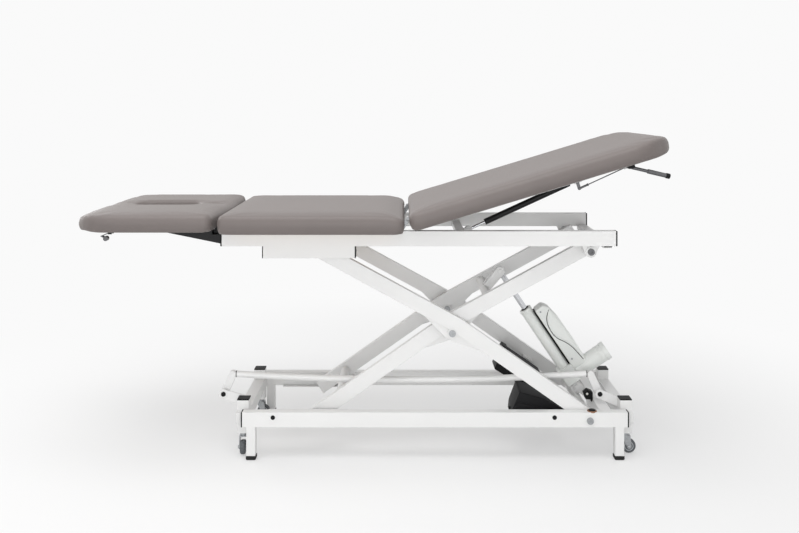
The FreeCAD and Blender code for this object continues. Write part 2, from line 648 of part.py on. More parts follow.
    bore = size.axle_radius + size.running_gap
    width = size.roller_width
    edge = size.fork_wall
    for name, start, frame in (
            ("upper", upper_roller_y, COUCH.at(slide_x, ZERO, top_pivot_z)),
            ("lower", lower_roller_y, COUCH.at(slide_x, ZERO, size.pivot_z))):
        for side, sign in SIDES:
            centre = frame.at(ZERO, (start + width / 2) * sign, ZERO)
            named(turned(centre, [
                (bore, -width / 2), (size.roller_radius - edge, -width / 2),
                (size.roller_radius, -width / 2 + edge), (size.roller_radius, width / 2 - edge),
                (size.roller_radius - edge, width / 2), (bore, width / 2)]),
                f"{name}_roller_{side}")


def build_base():
    """Two base rails with legs and roller channels, joined by end frames and a cross tube."""
    z0, z1 = size.base_rail_z, size.base_rail_z + size.rail_depth
    ends = (size.base_rail_head_x, size.base_rail_leg_x)
    wall = size.rail_wall
    head_post_x = size.base_rail_head_x - size.post_offset
    leg_post_x = size.base_rail_leg_x + size.post_offset
    channel_half = size.roller_radius + size.roller_gap
    feet, bolts, caps = [], [], []
    for side, sign in SIDES:
        rail_y = mirrored(sign, base_rail_in, size.base_half_width)
        rail = square_tube(COUCH, ends, rail_y, (z0, z1), wall, "X")
        legs = []
        for leg_x in (size.leg_head_x, size.leg_leg_x):
            legs.append(square_tube(COUCH, around(leg_x, size.leg_size), rail_y,
                                    (size.foot_height, z0), wall, "Z"))
            centre_y = (rail_y[0] + rail_y[1]) / 2
            flange = block(COUCH, around(leg_x, size.leg_size + size.foot_flange * 2),
                           around(centre_y, size.leg_size + size.foot_flange * 2),
                           (ZERO, size.foot_height))
            plug = block(COUCH, around(leg_x, size.leg_size - wall * 2),
                         around(centre_y, size.leg_size - wall * 2),
                         (size.foot_height, size.foot_height + size.foot_plug))
            feet.append(fuse(flange, plug))
        channel_out = mirrored(sign, base_rail_in - size.lower_channel_width, base_rail_in)
        channel_in = mirrored(sign, base_rail_in - size.lower_channel_width,
                              base_rail_in - size.channel_wall)
        length = (slide_x - size.lower_channel_back, slide_x + size.lower_channel_ahead)
        channel = cut(
            block(COUCH, length, channel_out,
                  around(size.pivot_z, (channel_half + size.channel_wall) * 2)),
            block(COUCH, length, channel_in, around(size.pivot_z, channel_half * 2)))
        drills = [rod(COUCH, "Y", size.pivot_x, size.pivot_z, size.pivot_radius, rail_y)]
        for blank_x in (size.blank_head_x, size.blank_leg_x):
            skin = mirrored(sign, size.base_half_width - wall, size.base_half_width)
            drills.append(rod(COUCH, "Y", blank_x, size.blank_z, size.blank_radius, skin))
            caps.append(fuse(
                rod(COUCH, "Y", blank_x, size.blank_z, size.blank_radius, skin),
                rod(COUCH, "Y", blank_x, size.blank_z, size.blank_radius + size.blank_flange,
                    mirrored(sign, size.base_half_width,
                             size.base_half_width + size.blank_flange))))
        named(cut(fuse(rail, channel, *legs), *drills), f"base_rail_{side}")

        shank, head, socket = socket_bolt(COUCH, sign, size.pivot_x, size.pivot_z,
                                          outer_arm_in + size.face_gap, size.base_half_width)
        washer = rod(COUCH, "Y", size.pivot_x, size.pivot_z, size.washer_radius,
                     mirrored(sign, outer_arm_out + size.face_gap, base_rail_in))
        bolts.append(cut(fuse(shank, head, washer), socket))
        for end_x, outward in ((size.base_rail_head_x, -1), (size.base_rail_leg_x, 1)):
            cover = block(COUCH, (end_x, end_x + size.foot_flange * outward), rail_y, (z0, z1))
            first, last = ordered(rail_y)
            spigot = block(COUCH, (end_x, end_x - size.cap_spigot * outward),
                           (first + wall, last - wall), (z0 + wall, z1 - wall))
            caps.append(fuse(cover, spigot))
        for post_x in (head_post_x, leg_post_x):
            post_width = around(post_y * sign, size.post_size)
            cover = block(COUCH, around(post_x, size.post_size), post_width,
                          (size.post_top_z, size.post_top_z + size.cap_thick))
            spigot = block(COUCH, around(post_x, size.post_size - wall * 2),
                           around(post_y * sign, size.post_size - wall * 2),
                           (size.post_top_z - size.cap_spigot, size.post_top_z))
            caps.append(fuse(cover, spigot))
    named(loose(*feet), "rubber_feet")
    named(loose(*bolts), "base_pivot_bolts")
    named(loose(*caps), "base_caps")

    for name, post_x in (("head", head_post_x), ("leg", leg_post_x)):
        solids, hollows = [], []
        across = (-base_rail_in, base_rail_in)
        x = around(post_x, size.post_size)
        inner_x = around(post_x, size.post_size - wall * 2)
        solids.append(block(COUCH, x, across, (z0, z0 + size.base_cross_depth)))
        hollows.append(block(COUCH, inner_x, across,
                             (z0 + wall, z0 + size.base_cross_depth - wall)))
        for _, sign in SIDES:
            y = post_y * sign
            solids.append(block(COUCH, x, around(y, size.post_size),
                                (size.post_bottom_z, size.post_top_z)))
            hollows.append(block(COUCH, inner_x, around(y, size.post_size - wall * 2),
                                 (size.post_bottom_z + size.post_plug, size.post_top_z)))
            hollows.append(rod(COUCH, "Z", post_x, y, size.axle_radius + size.running_gap,
                               (size.post_bottom_z, size.post_bottom_z + size.post_plug)))
        named(cut(fuse(*solids), *hollows), f"end_frame_{name}")

    # Cross tube with the actuator's lower ears and its pin
    tube = square_tube(COUCH, around(size.motor_tube_x, size.post_size),
                       (-base_rail_in, base_rail_in),
                       around(size.motor_tube_z, size.post_size), wall, "Y")
    face_x = size.motor_tube_x - size.post_size / 2
    ear_in = size.actuator_eye_width / 2 + size.bracket_gap
    ear_out = ear_in + size.bracket_plate
    radius = size.bracket_radius
    low, high = size.bracket_low, size.motor_tube_z + size.post_size / 2
    slant = radius * sine(as_size(45))
    pieces = [tube]
    for sign in (-1, 1):
        pieces.append(prism(COUCH, "XZ_Plane", [
            (size.lower_eye_x - slant, size.lower_eye_z - slant), (face_x, low), (face_x, high),
            (size.lower_eye_x + slant, size.lower_eye_z + slant)],
            mirrored(sign, ear_in, ear_out),
            discs=[(size.lower_eye_x, size.lower_eye_z, radius)]))
        pieces.append(rod(COUCH, "Y", size.lower_eye_x, size.lower_eye_z, size.collar_radius,
                          mirrored(sign, ear_out, ear_out + size.pin_head)))
    pieces.append(rod(COUCH, "Y", size.lower_eye_x, size.lower_eye_z, size.actuator_pin_radius,
                      (-ear_out, ear_out)))
    cross_tube = fuse(*pieces)

    bar_z = (z0, z0 + size.flat_bar_thick)
    short = block(COUCH, (size.flat_bar_head_x, size.flat_bar_head_x + size.flat_bar_width),
                  (-base_rail_in, -size.flat_bar_short_y), bar_z)
    full = block(COUCH, (size.flat_bar_leg_x, size.flat_bar_leg_x + size.flat_bar_width),
                 (-base_rail_in, base_rail_in), bar_z)
    named(loose(cross_tube, short, full), "base_cross_members")

    floor = z0 + size.flat_bar_thick
    named(prism(COUCH, "XZ_Plane", [
        (size.power_head_x, floor), (size.power_leg_x, floor),
        (size.power_leg_x, floor + size.power_low),
        (size.power_head_x + size.power_rake, floor + size.power_tall)],
        (-power_near_y, -power_far_y), round_radius=size.power_round), "power_unit")

    top = size.motor_tube_z + size.post_size / 2
    named(prism(COUCH, "XZ_Plane", [
        (size.switch_x, top), (size.switch_x + size.switch_length, top),
        (size.switch_x + size.switch_length, top + size.switch_height),
        (size.switch_x + size.switch_round, top + size.switch_height),
        (size.switch_x, top + size.switch_height - size.switch_round * 2)],
        (-switch_y - size.switch_width, -switch_y)), "switch_box")


def build_foot_bar():
    """A bowed bar between two rockers, which turn on plates welded to the posts."""
    head_post_x = size.base_rail_head_x - size.post_offset
    leg_post_x = size.base_rail_leg_x + size.post_offset
    post_in = post_y - size.post_size / 2
    plate_in = post_in - size.rocker_plate
    half_post = size.post_size / 2 - size.rocker_foot_inset
    plates = []
    for rocker_x, post_x in (
            (size.rocker_head_x, head_post_x), (size.rocker_leg_x, leg_post_x)):
        weld_x = post_x + half_post if rocker_x.value < 0 else post_x - half_post
        plate = prism(COUCH, "XZ_Plane", [
            (weld_x, size.rocker_foot_z), (weld_x, size.post_top_z),
            (rocker_x, size.rocker_z + size.rocker_plate_radius),
            (rocker_x, size.rocker_z - size.rocker_plate_radius)],
            (-post_in, -plate_in),
            discs=[(rocker_x, size.rocker_z, size.rocker_plate_radius)])
        rocker_out = foot_bar_y + size.rocker_width / 2
        rocker_in = foot_bar_y - size.rocker_width / 2
        spacer = rod(COUCH, "Y", rocker_x, size.rocker_z, size.collar_radius,
                     (-plate_in, -rocker_out - size.face_gap))
        pin = rod(COUCH, "Y", rocker_x, size.rocker_z, size.rocker_pin_radius,
                  (-plate_in, -rocker_in + size.face_gap))
        head = rod(COUCH, "Y", rocker_x, size.rocker_z, size.collar_radius,
                   (-rocker_in + size.face_gap, -rocker_in + size.face_gap + size.clip_thick))
        plates.append(fuse(plate, spacer, pin, head))
    named(loose(*plates), "foot_bar_brackets")

    width = (-foot_bar_y - size.rocker_width / 2, -foot_bar_y + size.rocker_width / 2)
    slot = (-foot_bar_y - size.bar_pin_radius, -foot_bar_y + size.bar_pin_radius)
    for name, rocker_x, bar_x, inward in (
            ("head", size.rocker_head_x, size.foot_bar_head_x, 1),
            ("leg", size.rocker_leg_x, size.foot_bar_leg_x, -1)):
        joint_x = bar_x - size.bar_end_gap * inward
        run, rise = joint_x - rocker_x, size.foot_bar_z - size.rocker_z
        length = span(run, rise)
        along_x, along_z = run / length, rise / length
        side_x, side_z = -along_z, along_x
        grip = size.rocker_radius - size.foot_flange
        points = []
        for end_x, end_z, r in ((rocker_x, size.rocker_z, size.rocker_radius),
                                (joint_x, size.foot_bar_z, grip)):
            points.append((end_x + side_x * r, end_z + side_z * r))
            points.append((end_x - side_x * r, end_z - side_z * r))
        points = [points[0], points[2], points[3], points[1]]
        rocker = prism(COUCH, "XZ_Plane", points, width, discs=[
            (rocker_x, size.rocker_z, size.rocker_radius),
            (joint_x, size.foot_bar_z, grip)],
            holes=[(rocker_x, size.rocker_z, size.rocker_pin_radius + size.running_gap)])
        # The bar's flat tongue turns in a slot in the rocker's upper end
        reach_out = size.rocker_radius + size.foot_flange
        tongue_gap = (slot[0] - size.face_gap, slot[1] + size.face_gap)
        mouth = block(COUCH, (joint_x - reach_out, joint_x + reach_out), tongue_gap,
                      (size.foot_bar_z - reach_out, size.foot_bar_z + reach_out))
        named(cut(rocker, mouth) if name == "leg" else fuse(
            cut(rocker, mouth),
            rod(COUCH, "Y", joint_x, size.foot_bar_z, size.lever_pin_radius, width)),
            f"foot_bar_rocker_{name}")

    body = doc.addObject("PartDesign::Body", "Bow")
    path = new_sketch(body, "XZ_Plane", foot_bar_y)
    start, end = size.foot_bar_head_x, size.foot_bar_leg_x
    chord = end - start
    sag = size.foot_bar_sag
    bow_radius = (chord * chord / 4 + sag * sag) / (sag * 2)
    middle = (start + end) / 2
    path.addGeometry(Part.Arc(
        FreeCAD.Vector(start.value, size.foot_bar_z.value, 0),
        FreeCAD.Vector(middle.value, (size.foot_bar_z - sag).value, 0),
        FreeCAD.Vector(end.value, size.foot_bar_z.value, 0)))
    first = nearer_end(path, 0, start, size.foot_bar_z)
    last = 3 - first
    bind(path, "DistanceX", 0, first, start)
    bind(path, "DistanceY", 0, first, size.foot_bar_z)
    bind(path, "DistanceX", 0, last, end)
    bind(path, "DistanceY", 0, last, size.foot_bar_z)
    row = path.addConstraint(Sketcher.Constraint("Radius", 0, bow_radius.value))
    path.setExpression(f"Constraints[{row}]", bow_radius.text)
    ring = new_sketch(body, "YZ_Plane", start)
    draw_circle(ring, -foot_bar_y, size.foot_bar_z, size.foot_bar_radius)
    pipe = body.newObject("PartDesign::AdditivePipe", "Bar")
    pipe.Profile = ring
    pipe.Spine = (path, ["Edge1"])
    body.setExpression("Placement", COUCH.text)
    tongues = []
    for bar_x, inward, pin in ((start, 1, True), (end, -1, False)):
        joint_x = bar_x - size.bar_end_gap * inward
        tongue = prism(COUCH, "XZ_Plane", [
            (bar_x + size.bar_end_gap * inward, size.foot_bar_z - size.bar_pin_radius),
            (joint_x, size.foot_bar_z - size.bar_pin_radius),
            (joint_x, size.foot_bar_z + size.bar_pin_radius),
            (bar_x + size.bar_end_gap * inward, size.foot_bar_z + size.bar_pin_radius)],
            slot, discs=[(joint_x, size.foot_bar_z, size.bar_pin_radius)])
        hole = rod(COUCH, "Y", joint_x, size.foot_bar_z,
                   size.lever_pin_radius + size.running_gap, slot)
        tongues.append(cut(tongue, hole) if pin else tongue)
    named(fuse(body, *tongues), "foot_bar")


def build_castors():
    """Four swivel castors: each fork turns in a post, each wheel on the fork's axle."""
    head_post_x = size.base_rail_head_x - size.post_offset
    leg_post_x = size.base_rail_leg_x + size.post_offset
    axle_z = size.wheel_radius + size.wheel_lift
    half_wheel = size.wheel_width / 2
    plate_in = half_wheel + size.fork_gap
    plate_out = plate_in + size.fork_wall
    trail = size.castor_trail
    crown_top = size.fork_top + size.fork_plate
    race_top = size.post_bottom_z - size.face_gap
    stem_top = size.post_bottom_z + size.post_plug - size.fork_gap
    for end, post_x in (("head", head_post_x), ("leg", leg_post_x)):
        for side, sign in SIDES:
            turn = -QUARTER_TURN if (end, side) == ("head", "near") else ZERO
            frame = COUCH.at(post_x, post_y * sign, ZERO, (0, 0, 1), turn)
            crown = block(frame, (-size.fork_half + size.fork_gap, size.fork_half + size.fork_gap),
                          (-plate_out, plate_out), (size.fork_top, crown_top))
            race = rod(frame, "Z", ZERO, ZERO, size.castor_race_radius, (crown_top, race_top))
            stem = rod(frame, "Z", ZERO, ZERO, size.axle_radius, (race_top, stem_top))
            axle = rod(frame, "Y", trail, axle_z, size.wheel_axle_radius, (-plate_out, plate_out))
            pieces = [crown, race, stem, axle]
            for edge in (-1, 1):
                pieces.append(prism(frame, "XZ_Plane", [
                    (-size.fork_half + size.fork_gap, crown_top),
                    (trail - size.fork_end_radius, axle_z), (trail + size.fork_end_radius, axle_z),
                    (size.fork_half + size.fork_gap, crown_top)],
                    mirrored(edge, plate_in, plate_out),
                    discs=[(trail, axle_z, size.fork_end_radius)]))
                pieces.append(rod(frame, "Y", trail, axle_z, size.wheel_axle_radius * 2,
                                  mirrored(edge, plate_out, plate_out + size.clip_thick)))
            named(fuse(*pieces), f"castor_fork_{end}_{side}")
            hub = size.wheel_hub_radius
            bore = size.wheel_axle_radius + size.running_gap
            edge = size.tread_edge
            radius = size.wheel_radius
            rim = half_wheel - size.fork_gap
            named(turned(frame.at(trail, ZERO, axle_z), [
                (bore, -half_wheel), (hub, -half_wheel), (hub, -rim), (radius - edge, -rim),
                (radius, -rim + edge), (radius, rim - edge), (radius - edge, rim), (hub, rim),
                (hub, half_wheel), (bore, half_wheel)]), f"castor_wheel_{end}_{side}")


def build_actuator():
    """A geared motor and screw tube that push the inner arms up, with their control box."""
    half_eye = (-size.actuator_eye_width / 2, size.actuator_eye_width / 2)
    bore = size.actuator_pin_radius + size.running_gap
    box = (-size.gearbox_half, size.gearbox_half)
    eye = rod(ACTUATOR, "Y", ZERO, ZERO, size.actuator_eye_radius, half_eye)
    neck = block(ACTUATOR, (ZERO, size.gearbox_start), half_eye,
                 (-size.actuator_neck, size.actuator_neck))
    gearbox = prism(ACTUATOR, "YZ_Plane", rectangle(
        ZERO, ZERO, size.gearbox_half * 2, size.gearbox_half * 2),
        (size.gearbox_start, size.gearbox_end), round_radius=size.gearbox_round)
    tube = rod(ACTUATOR, "X", ZERO, ZERO, size.actuator_tube_radius,
               (size.gearbox_end, size.actuator_tube_end))
    named(cut(fuse(eye, neck, gearbox, tube),
              rod(ACTUATOR, "Y", ZERO, ZERO, bore, half_eye),
              rod(ACTUATOR, "X", ZERO, ZERO, size.actuator_bore_radius,
                  (size.gearbox_end, size.actuator_tube_end))), "actuator_tube")

    motor_start = size.gearbox_half
    motor_end = motor_start + size.motor_length
    barrel = rod(ACTUATOR, "Z", size.motor_along, ZERO, size.motor_radius,
                 mirrored(-1, motor_start, motor_end))
    cover = rod(ACTUATOR, "Z", size.motor_along, ZERO, size.motor_radius + size.foot_flange,
                mirrored(-1, motor_end, motor_end + size.motor_cap))
    named(fuse(barrel, cover), "actuator_motor")

    named(prism(ACTUATOR, "XZ_Plane", [
        (size.control_start, -size.control_near), (size.control_start, -size.control_far),
        (size.control_end - size.control_slope, -size.control_far),
        (size.control_end, -size.control_far + size.control_slope),
        (size.control_end, -size.control_near)],
        (-size.control_width / 2, size.control_width / 2), round_radius=size.control_round),
        "actuator_control_box")

    eye = rod(ACTUATOR, "Y", actuator_length, ZERO, size.actuator_eye_radius, half_eye)
    shaft = rod(ACTUATOR, "X", ZERO, ZERO, size.actuator_rod_radius,
                (size.actuator_rod_tail, actuator_length))
    named(cut(fuse(eye, shaft), rod(ACTUATOR, "Y", actuator_length, ZERO, bore, half_eye)),
          "actuator_rod")

    unit_y = mirrored(-1, unit_near_y, unit_far_y)
    named(prism(OUTER, "XZ_Plane", [
        (size.unit_start, -size.unit_drop), (size.unit_end, -size.unit_drop),
        (size.unit_end, size.unit_rise), (size.unit_start, size.unit_rise)],
        unit_y, round_radius=size.unit_round), "control_unit")


def eye_ears(frame, x, z, root):
    """Two ears round a spring's eye, with stub pins, from a root outline."""
    ear_in = size.eye_width / 2 + size.ear_gap
    ear_out = ear_in + size.ear_plate
    pieces = []
    for sign in (-1, 1):
        pieces.append(prism(frame, "XZ_Plane", root, mirrored(sign, ear_in, ear_out),
                            discs=[(x, z, size.ear_radius)]))
        pieces.append(rod(frame, "Y", x, z, size.hinge_head_radius,
                          mirrored(sign, ear_out, ear_out + size.clip_thick)))
    return pieces


def through_pin(frame, x, z):
    half = size.eye_width / 2 + size.ear_gap + size.ear_plate
    return rod(frame, "Y", x, z, size.spring_pin_radius, (-half, half))


def build_top_frame():
    """Two upper rails with roller channels and pivot lugs, cross tubes and section hinges."""
    ends = (size.top_rail_head_x, size.top_rail_leg_x)
    rail_z = (top_rail_z, top_rail_top)
    wall = size.rail_wall
    channel_half = size.roller_radius + size.roller_gap
    channel_z = (top_rail_z - (channel_half + size.channel_wall) * 2, top_rail_z)
    channel_centre = (channel_z[0] + channel_z[1]) / 2
    channel_in = top_half_width - size.upper_channel_width
    channel_x = (slide_x - size.upper_channel_back, slide_x + size.upper_channel_ahead)
    boss_end = top_half_width - size.lug_boss_setback
    caps, bolts = [], []
    for side, sign in SIDES:
        rail_y = mirrored(sign, top_rail_in, top_half_width)
        rail = square_tube(COUCH, ends, rail_y, rail_z, wall, "X")
        channel = cut(
            block(COUCH, channel_x, mirrored(sign, channel_in, top_half_width), channel_z),
            block(COUCH, channel_x,
                  mirrored(sign, channel_in, top_half_width - size.channel_wall),
                  around(channel_centre, channel_half * 2)))
        lug_out = top_half_width - size.lug_setback
        slant = size.lug_radius * sine(as_size(45))
        lug = prism(COUCH, "XZ_Plane", [
            (size.pivot_x - size.lug_half, top_rail_z), (size.pivot_x - slant, top_pivot_z - slant),
            (size.pivot_x + slant, top_pivot_z - slant),
            (size.pivot_x + size.lug_half, top_rail_z)],
            mirrored(sign, lug_out - size.lug_plate, lug_out),
            discs=[(size.pivot_x, top_pivot_z, size.lug_radius - size.face_gap)])
        boss_y = mirrored(sign, inner_arm_out + size.lug_boss_gap, boss_end)
        boss = rod(COUCH, "Y", size.pivot_x, top_pivot_z, size.boss_radius, boss_y)
        bore = rod(COUCH, "Y", size.pivot_x, top_pivot_z, size.pivot_radius, boss_y)
        named(cut(fuse(rail, channel, lug, boss), bore), f"top_rail_{side}")

        shank, head, socket = socket_bolt(COUCH, sign, size.pivot_x, top_pivot_z,
                                          inner_arm_in, boss_end)
        nut_out = inner_arm_in - size.face_gap
        nut = rod(COUCH, "Y", size.pivot_x, top_pivot_z, size.head_radius,
                  mirrored(sign, nut_out - size.head_thick, nut_out))
        link = rod(COUCH, "Y", size.pivot_x, top_pivot_z, size.pivot_radius,
                   mirrored(sign, nut_out - size.head_thick, inner_arm_in))
        bolts.append(cut(fuse(shank, head, nut, link), socket))
        first, last = ordered(rail_y)
        for end_x, outward in ((ends[0], -1), (ends[1], 1)):
            cover = block(COUCH, (end_x, end_x + size.foot_flange * outward), rail_y, rail_z)
            spigot = block(COUCH, (end_x, end_x - size.cap_spigot * outward),
                           (first + wall, last - wall), (top_rail_z + wall, top_rail_top - wall))
            caps.append(fuse(cover, spigot))
        for end_x, outward in ((channel_x[0], -1), (channel_x[1], 1)):
            caps.append(block(COUCH, (end_x, end_x + size.channel_wall * outward),
                              mirrored(sign, channel_in, top_half_width), channel_z))
    named(loose(*caps), "top_caps")
    named(loose(*bolts), "top_pivot_bolts")

    across = (-top_rail_in, top_rail_in)
    high_z = (top_rail_top - size.cross_drop - size.cross_depth, top_rail_top - size.cross_drop)
    low_z = (top_rail_z + size.cross_drop, top_rail_z + size.cross_drop + size.cross_depth)
    wall = size.cross_wall

    def cross_tube(x, z):
        return square_tube(COUCH, around(x, size.cross_width), across, z, wall, "Y")

    # The tube under the leg section hangs low, clear of the release rod when that lies flat
    sunk_z = (top_rail_z - size.cross_sink, top_rail_z - size.cross_sink + size.cross_depth)
    named(loose(cross_tube(size.seat_cross_x, high_z), cross_tube(size.leg_cross_x, sunk_z)),
          "top_cross_tubes")

    x, z = size.head_spring_tube_x, head_eye_z
    half = size.ear_radius
    ears = eye_ears(COUCH, x, z, [
        (x - half, z), (x + half, z), (x + half, high_z[0]), (x - half, high_z[0])])
    named(fuse(cross_tube(x, high_z), through_pin(COUCH, x, z), *ears), "head_spring_tube")

    x, z = size.leg_eye_x, leg_eye_z
    face = size.leg_spring_tube_x + size.cross_width / 2
    ears = eye_ears(COUCH, x, z, [
        (face, low_z[0]), (x, z - half), (x, z + half), (face, low_z[1])])
    named(fuse(cross_tube(size.leg_spring_tube_x, low_z), *ears), "leg_spring_tube")

    # Hinge plates: the head pair hangs on short arms from the rails, the leg pair on the tube
    plates = []
    plate_out = hinge_inner_y + size.hinge_plate
    section_out = plate_out + size.ear_gap / 2 + size.hinge_plate
    radius = size.knuckle_radius
    tube_face = size.seat_cross_x + size.cross_width / 2
    arm_x = size.hinge_arm_x - size.hinge_arm_width
    for _, sign in SIDES:
        plate_y = mirrored(sign, hinge_inner_y, plate_out)
        for hinge_x, root in (
                (head_hinge_x, [(size.hinge_arm_x, high_z[0]), (size.hinge_arm_x, high_z[1]),
                                (arm_x, high_z[1]), (head_hinge_x + radius, hinge_z),
                                (head_hinge_x - radius, hinge_z), (arm_x, high_z[0])]),
                (leg_hinge_x, [(tube_face, high_z[0]), (leg_hinge_x + radius, hinge_z),
                               (leg_hinge_x - radius, hinge_z), (tube_face, high_z[1])])):
            plate = prism(COUCH, "XZ_Plane", root, plate_y, discs=[(hinge_x, hinge_z, radius)])
            pin = rod(COUCH, "Y", hinge_x, hinge_z, size.hinge_pin_radius,
                      mirrored(sign, plate_out, section_out + size.face_gap))
            head = rod(COUCH, "Y", hinge_x, hinge_z, size.hinge_head_radius, mirrored(
                sign, section_out + size.face_gap,
                section_out + size.face_gap + size.hinge_head))
            pieces = [plate, pin, head]
            if hinge_x is head_hinge_x:
                pieces.append(square_tube(
                    COUCH, (arm_x, size.hinge_arm_x), mirrored(sign, plate_out, top_rail_in),
                    high_z, wall, "Y"))
            plates.append(fuse(*pieces))
    named(loose(*plates), "frame_hinge_plates")


def cushion(frame, start, end, bottom, thick, start_corner, end_corner):
    """A padded section: sides that swell at the middle, a rounded rim and a crowned top."""
    body = doc.addObject("PartDesign::Body", "Cushion")
    half = size.pad_width / 2
    edge, crown, foot, waist = size.pad_edge, size.pad_crown, size.pad_foot, size.pad_waist
    rim = thick - crown - edge
    tenth, third = edge / 10, edge / 3
    levels = [
        (ZERO, foot), (foot, waist / 2), (rim / 2 + foot / 2, ZERO), (rim, waist / 3),
        (rim + third, waist / 3 + tenth), (rim + third * 2, waist / 3 + third - tenth / 2),
        (rim + edge - tenth, waist / 3 + third * 2), (rim + edge, edge + waist / 3),
        (rim + edge + crown * 2 / 3, size.crown_inset / 2), (thick, size.crown_inset)]
    sections = []
    for height, inset in levels:
        sketch = new_sketch(body, "XY_Plane", bottom + height)
        corners = []
        for corner in (start_corner, end_corner):
            kept = corner - inset
            least = size.least_corner
            corners.append(kept if kept.value > least.value else least)
        draw_cushion(sketch, start + inset, end - inset, half - inset, *corners)
        sections.append(sketch)
    loft = body.newObject("PartDesign::AdditiveLoft", "Upholstery")
    loft.Profile = sections[0]
    loft.Sections = sections[1:]
    loft.Ruled = True
    body.setExpression("Placement", frame.text)
    return body


def board_outline(start, end, cut_start, cut_end):
    """A board's plan inside its cushion, with its corners cut where the cushion's are round."""
    half = size.pad_width / 2 - size.board_inset
    points = []
    for x, inward, corner in ((start, 1, cut_start), (end, -1, cut_end)):
        for sign in ((1, -1) if inward > 0 else (-1, 1)):
            if corner is None:
                points.append((x, half * sign))
            elif inward * sign > 0:
                points += [(x + corner * inward, half * sign), (x, (half - corner) * sign)]
            else:
                points += [(x, (half - corner) * sign), (x + corner * inward, half * sign)]
    return points


def hinge_notches(frame, edge_x, inward, bottom, top):
    """Room for the hinge plates at a cushion's edge."""
    plate_out = hinge_inner_y + size.hinge_plate * 2 + size.ear_gap / 2
    return [block(frame, (edge_x - size.notch_side * inward, edge_x + size.notch_depth * inward),
                  mirrored(sign, hinge_inner_y - size.notch_side,
                           plate_out + size.notch_side), (bottom - size.notch_side, top))
            for _, sign in SIDES]


def face_slot(frame, centre_x, grow, z):
    """The oval face opening."""
    radius = size.face_width / 2 + grow
    run = size.face_length / 2 - size.face_width / 2
    return fuse(rod(frame, "Z", centre_x - run, ZERO, radius, z),
                rod(frame, "Z", centre_x + run, ZERO, radius, z),
                block(frame, (centre_x - run, centre_x + run), (-radius, radius), z))


def build_pads():
    """The three upholstered sections, each over a board."""
    gap = size.face_gap
    notch_top = hinge_z + size.notch_top
    thick = size.board_thick

    start, end = size.seat_pad_head_x, seat_pad_leg_x
    pad = cushion(COUCH, start, end, pad_bottom, size.pad_thick,
                  size.small_corner, size.small_corner)
    inset = size.board_inset
    recess_top = pad_bottom + thick + gap
    board_z = (top_rail_top, top_rail_top + thick)
    board = prism(COUCH, "XY_Plane", board_outline(start + inset, end - inset, None, None),
                  board_z)
    room = prism(COUCH, "XY_Plane", board_outline(
        start + inset - gap, end - inset + gap, None, None), (pad_bottom, recess_top))
    room_wide = block(COUCH, (start + inset, end - inset),
                      around(ZERO, size.pad_width - inset * 2 + gap * 2),
                      (pad_bottom, recess_top))
    named(cut(pad, room, room_wide, *hinge_notches(COUCH, start, 1, pad_bottom, notch_top),
              *hinge_notches(COUCH, end, -1, pad_bottom, notch_top)), "seat_pad")
    named(board, "seat_board")

    bottom = size.head_pad_thick
    start, end = head_end_x - head_hinge_x, head_pad_leg_x - head_hinge_x
    low = pad_top - bottom - hinge_z
    pad = cushion(HEAD, start, end, low, bottom, size.end_corner, size.small_corner)
    face_x = end - size.face_centre
    board = prism(HEAD, "XY_Plane", board_outline(
        start + inset, end - inset, size.board_cut, None), (low, low + thick))
    room = prism(HEAD, "XY_Plane", board_outline(
        start + inset - gap, end - inset + gap, size.board_cut - gap, None),
        (low, low + thick + gap))
    room_wide = block(HEAD, (start + inset + size.board_cut, end - inset),
                      around(ZERO, size.pad_width - inset * 2 + gap * 2),
                      (low, low + thick + gap))
    named(cut(pad, room, room_wide, face_slot(HEAD, face_x, ZERO, (low, low + bottom)),
              *hinge_notches(HEAD, end, -1, low, size.notch_top)), "head_pad")
    named(cut(board, face_slot(HEAD, face_x, gap, (low, low + thick))), "head_board")

    start, end = leg_pad_offset, leg_pad_offset + size.leg_pad_length
    low = -hinge_to_bottom
    pad = cushion(LEG, start, end, low, size.pad_thick, size.small_corner, size.end_corner)
    board = prism(LEG, "XY_Plane", board_outline(
        start + inset, end - inset, None, size.board_cut), (low, low + thick))
    room = prism(LEG, "XY_Plane", board_outline(
        start + inset - gap, end - inset + gap, None, size.board_cut - gap),
        (low, low + thick + gap))
    room_wide = block(LEG, (start + inset, end - inset - size.board_cut),
                      around(ZERO, size.pad_width - inset * 2 + gap * 2),
                      (low, low + thick + gap))
    named(cut(pad, room, room_wide, *hinge_notches(LEG, start, 1, low, size.notch_top)),
          "leg_pad")
    named(board, "leg_board")


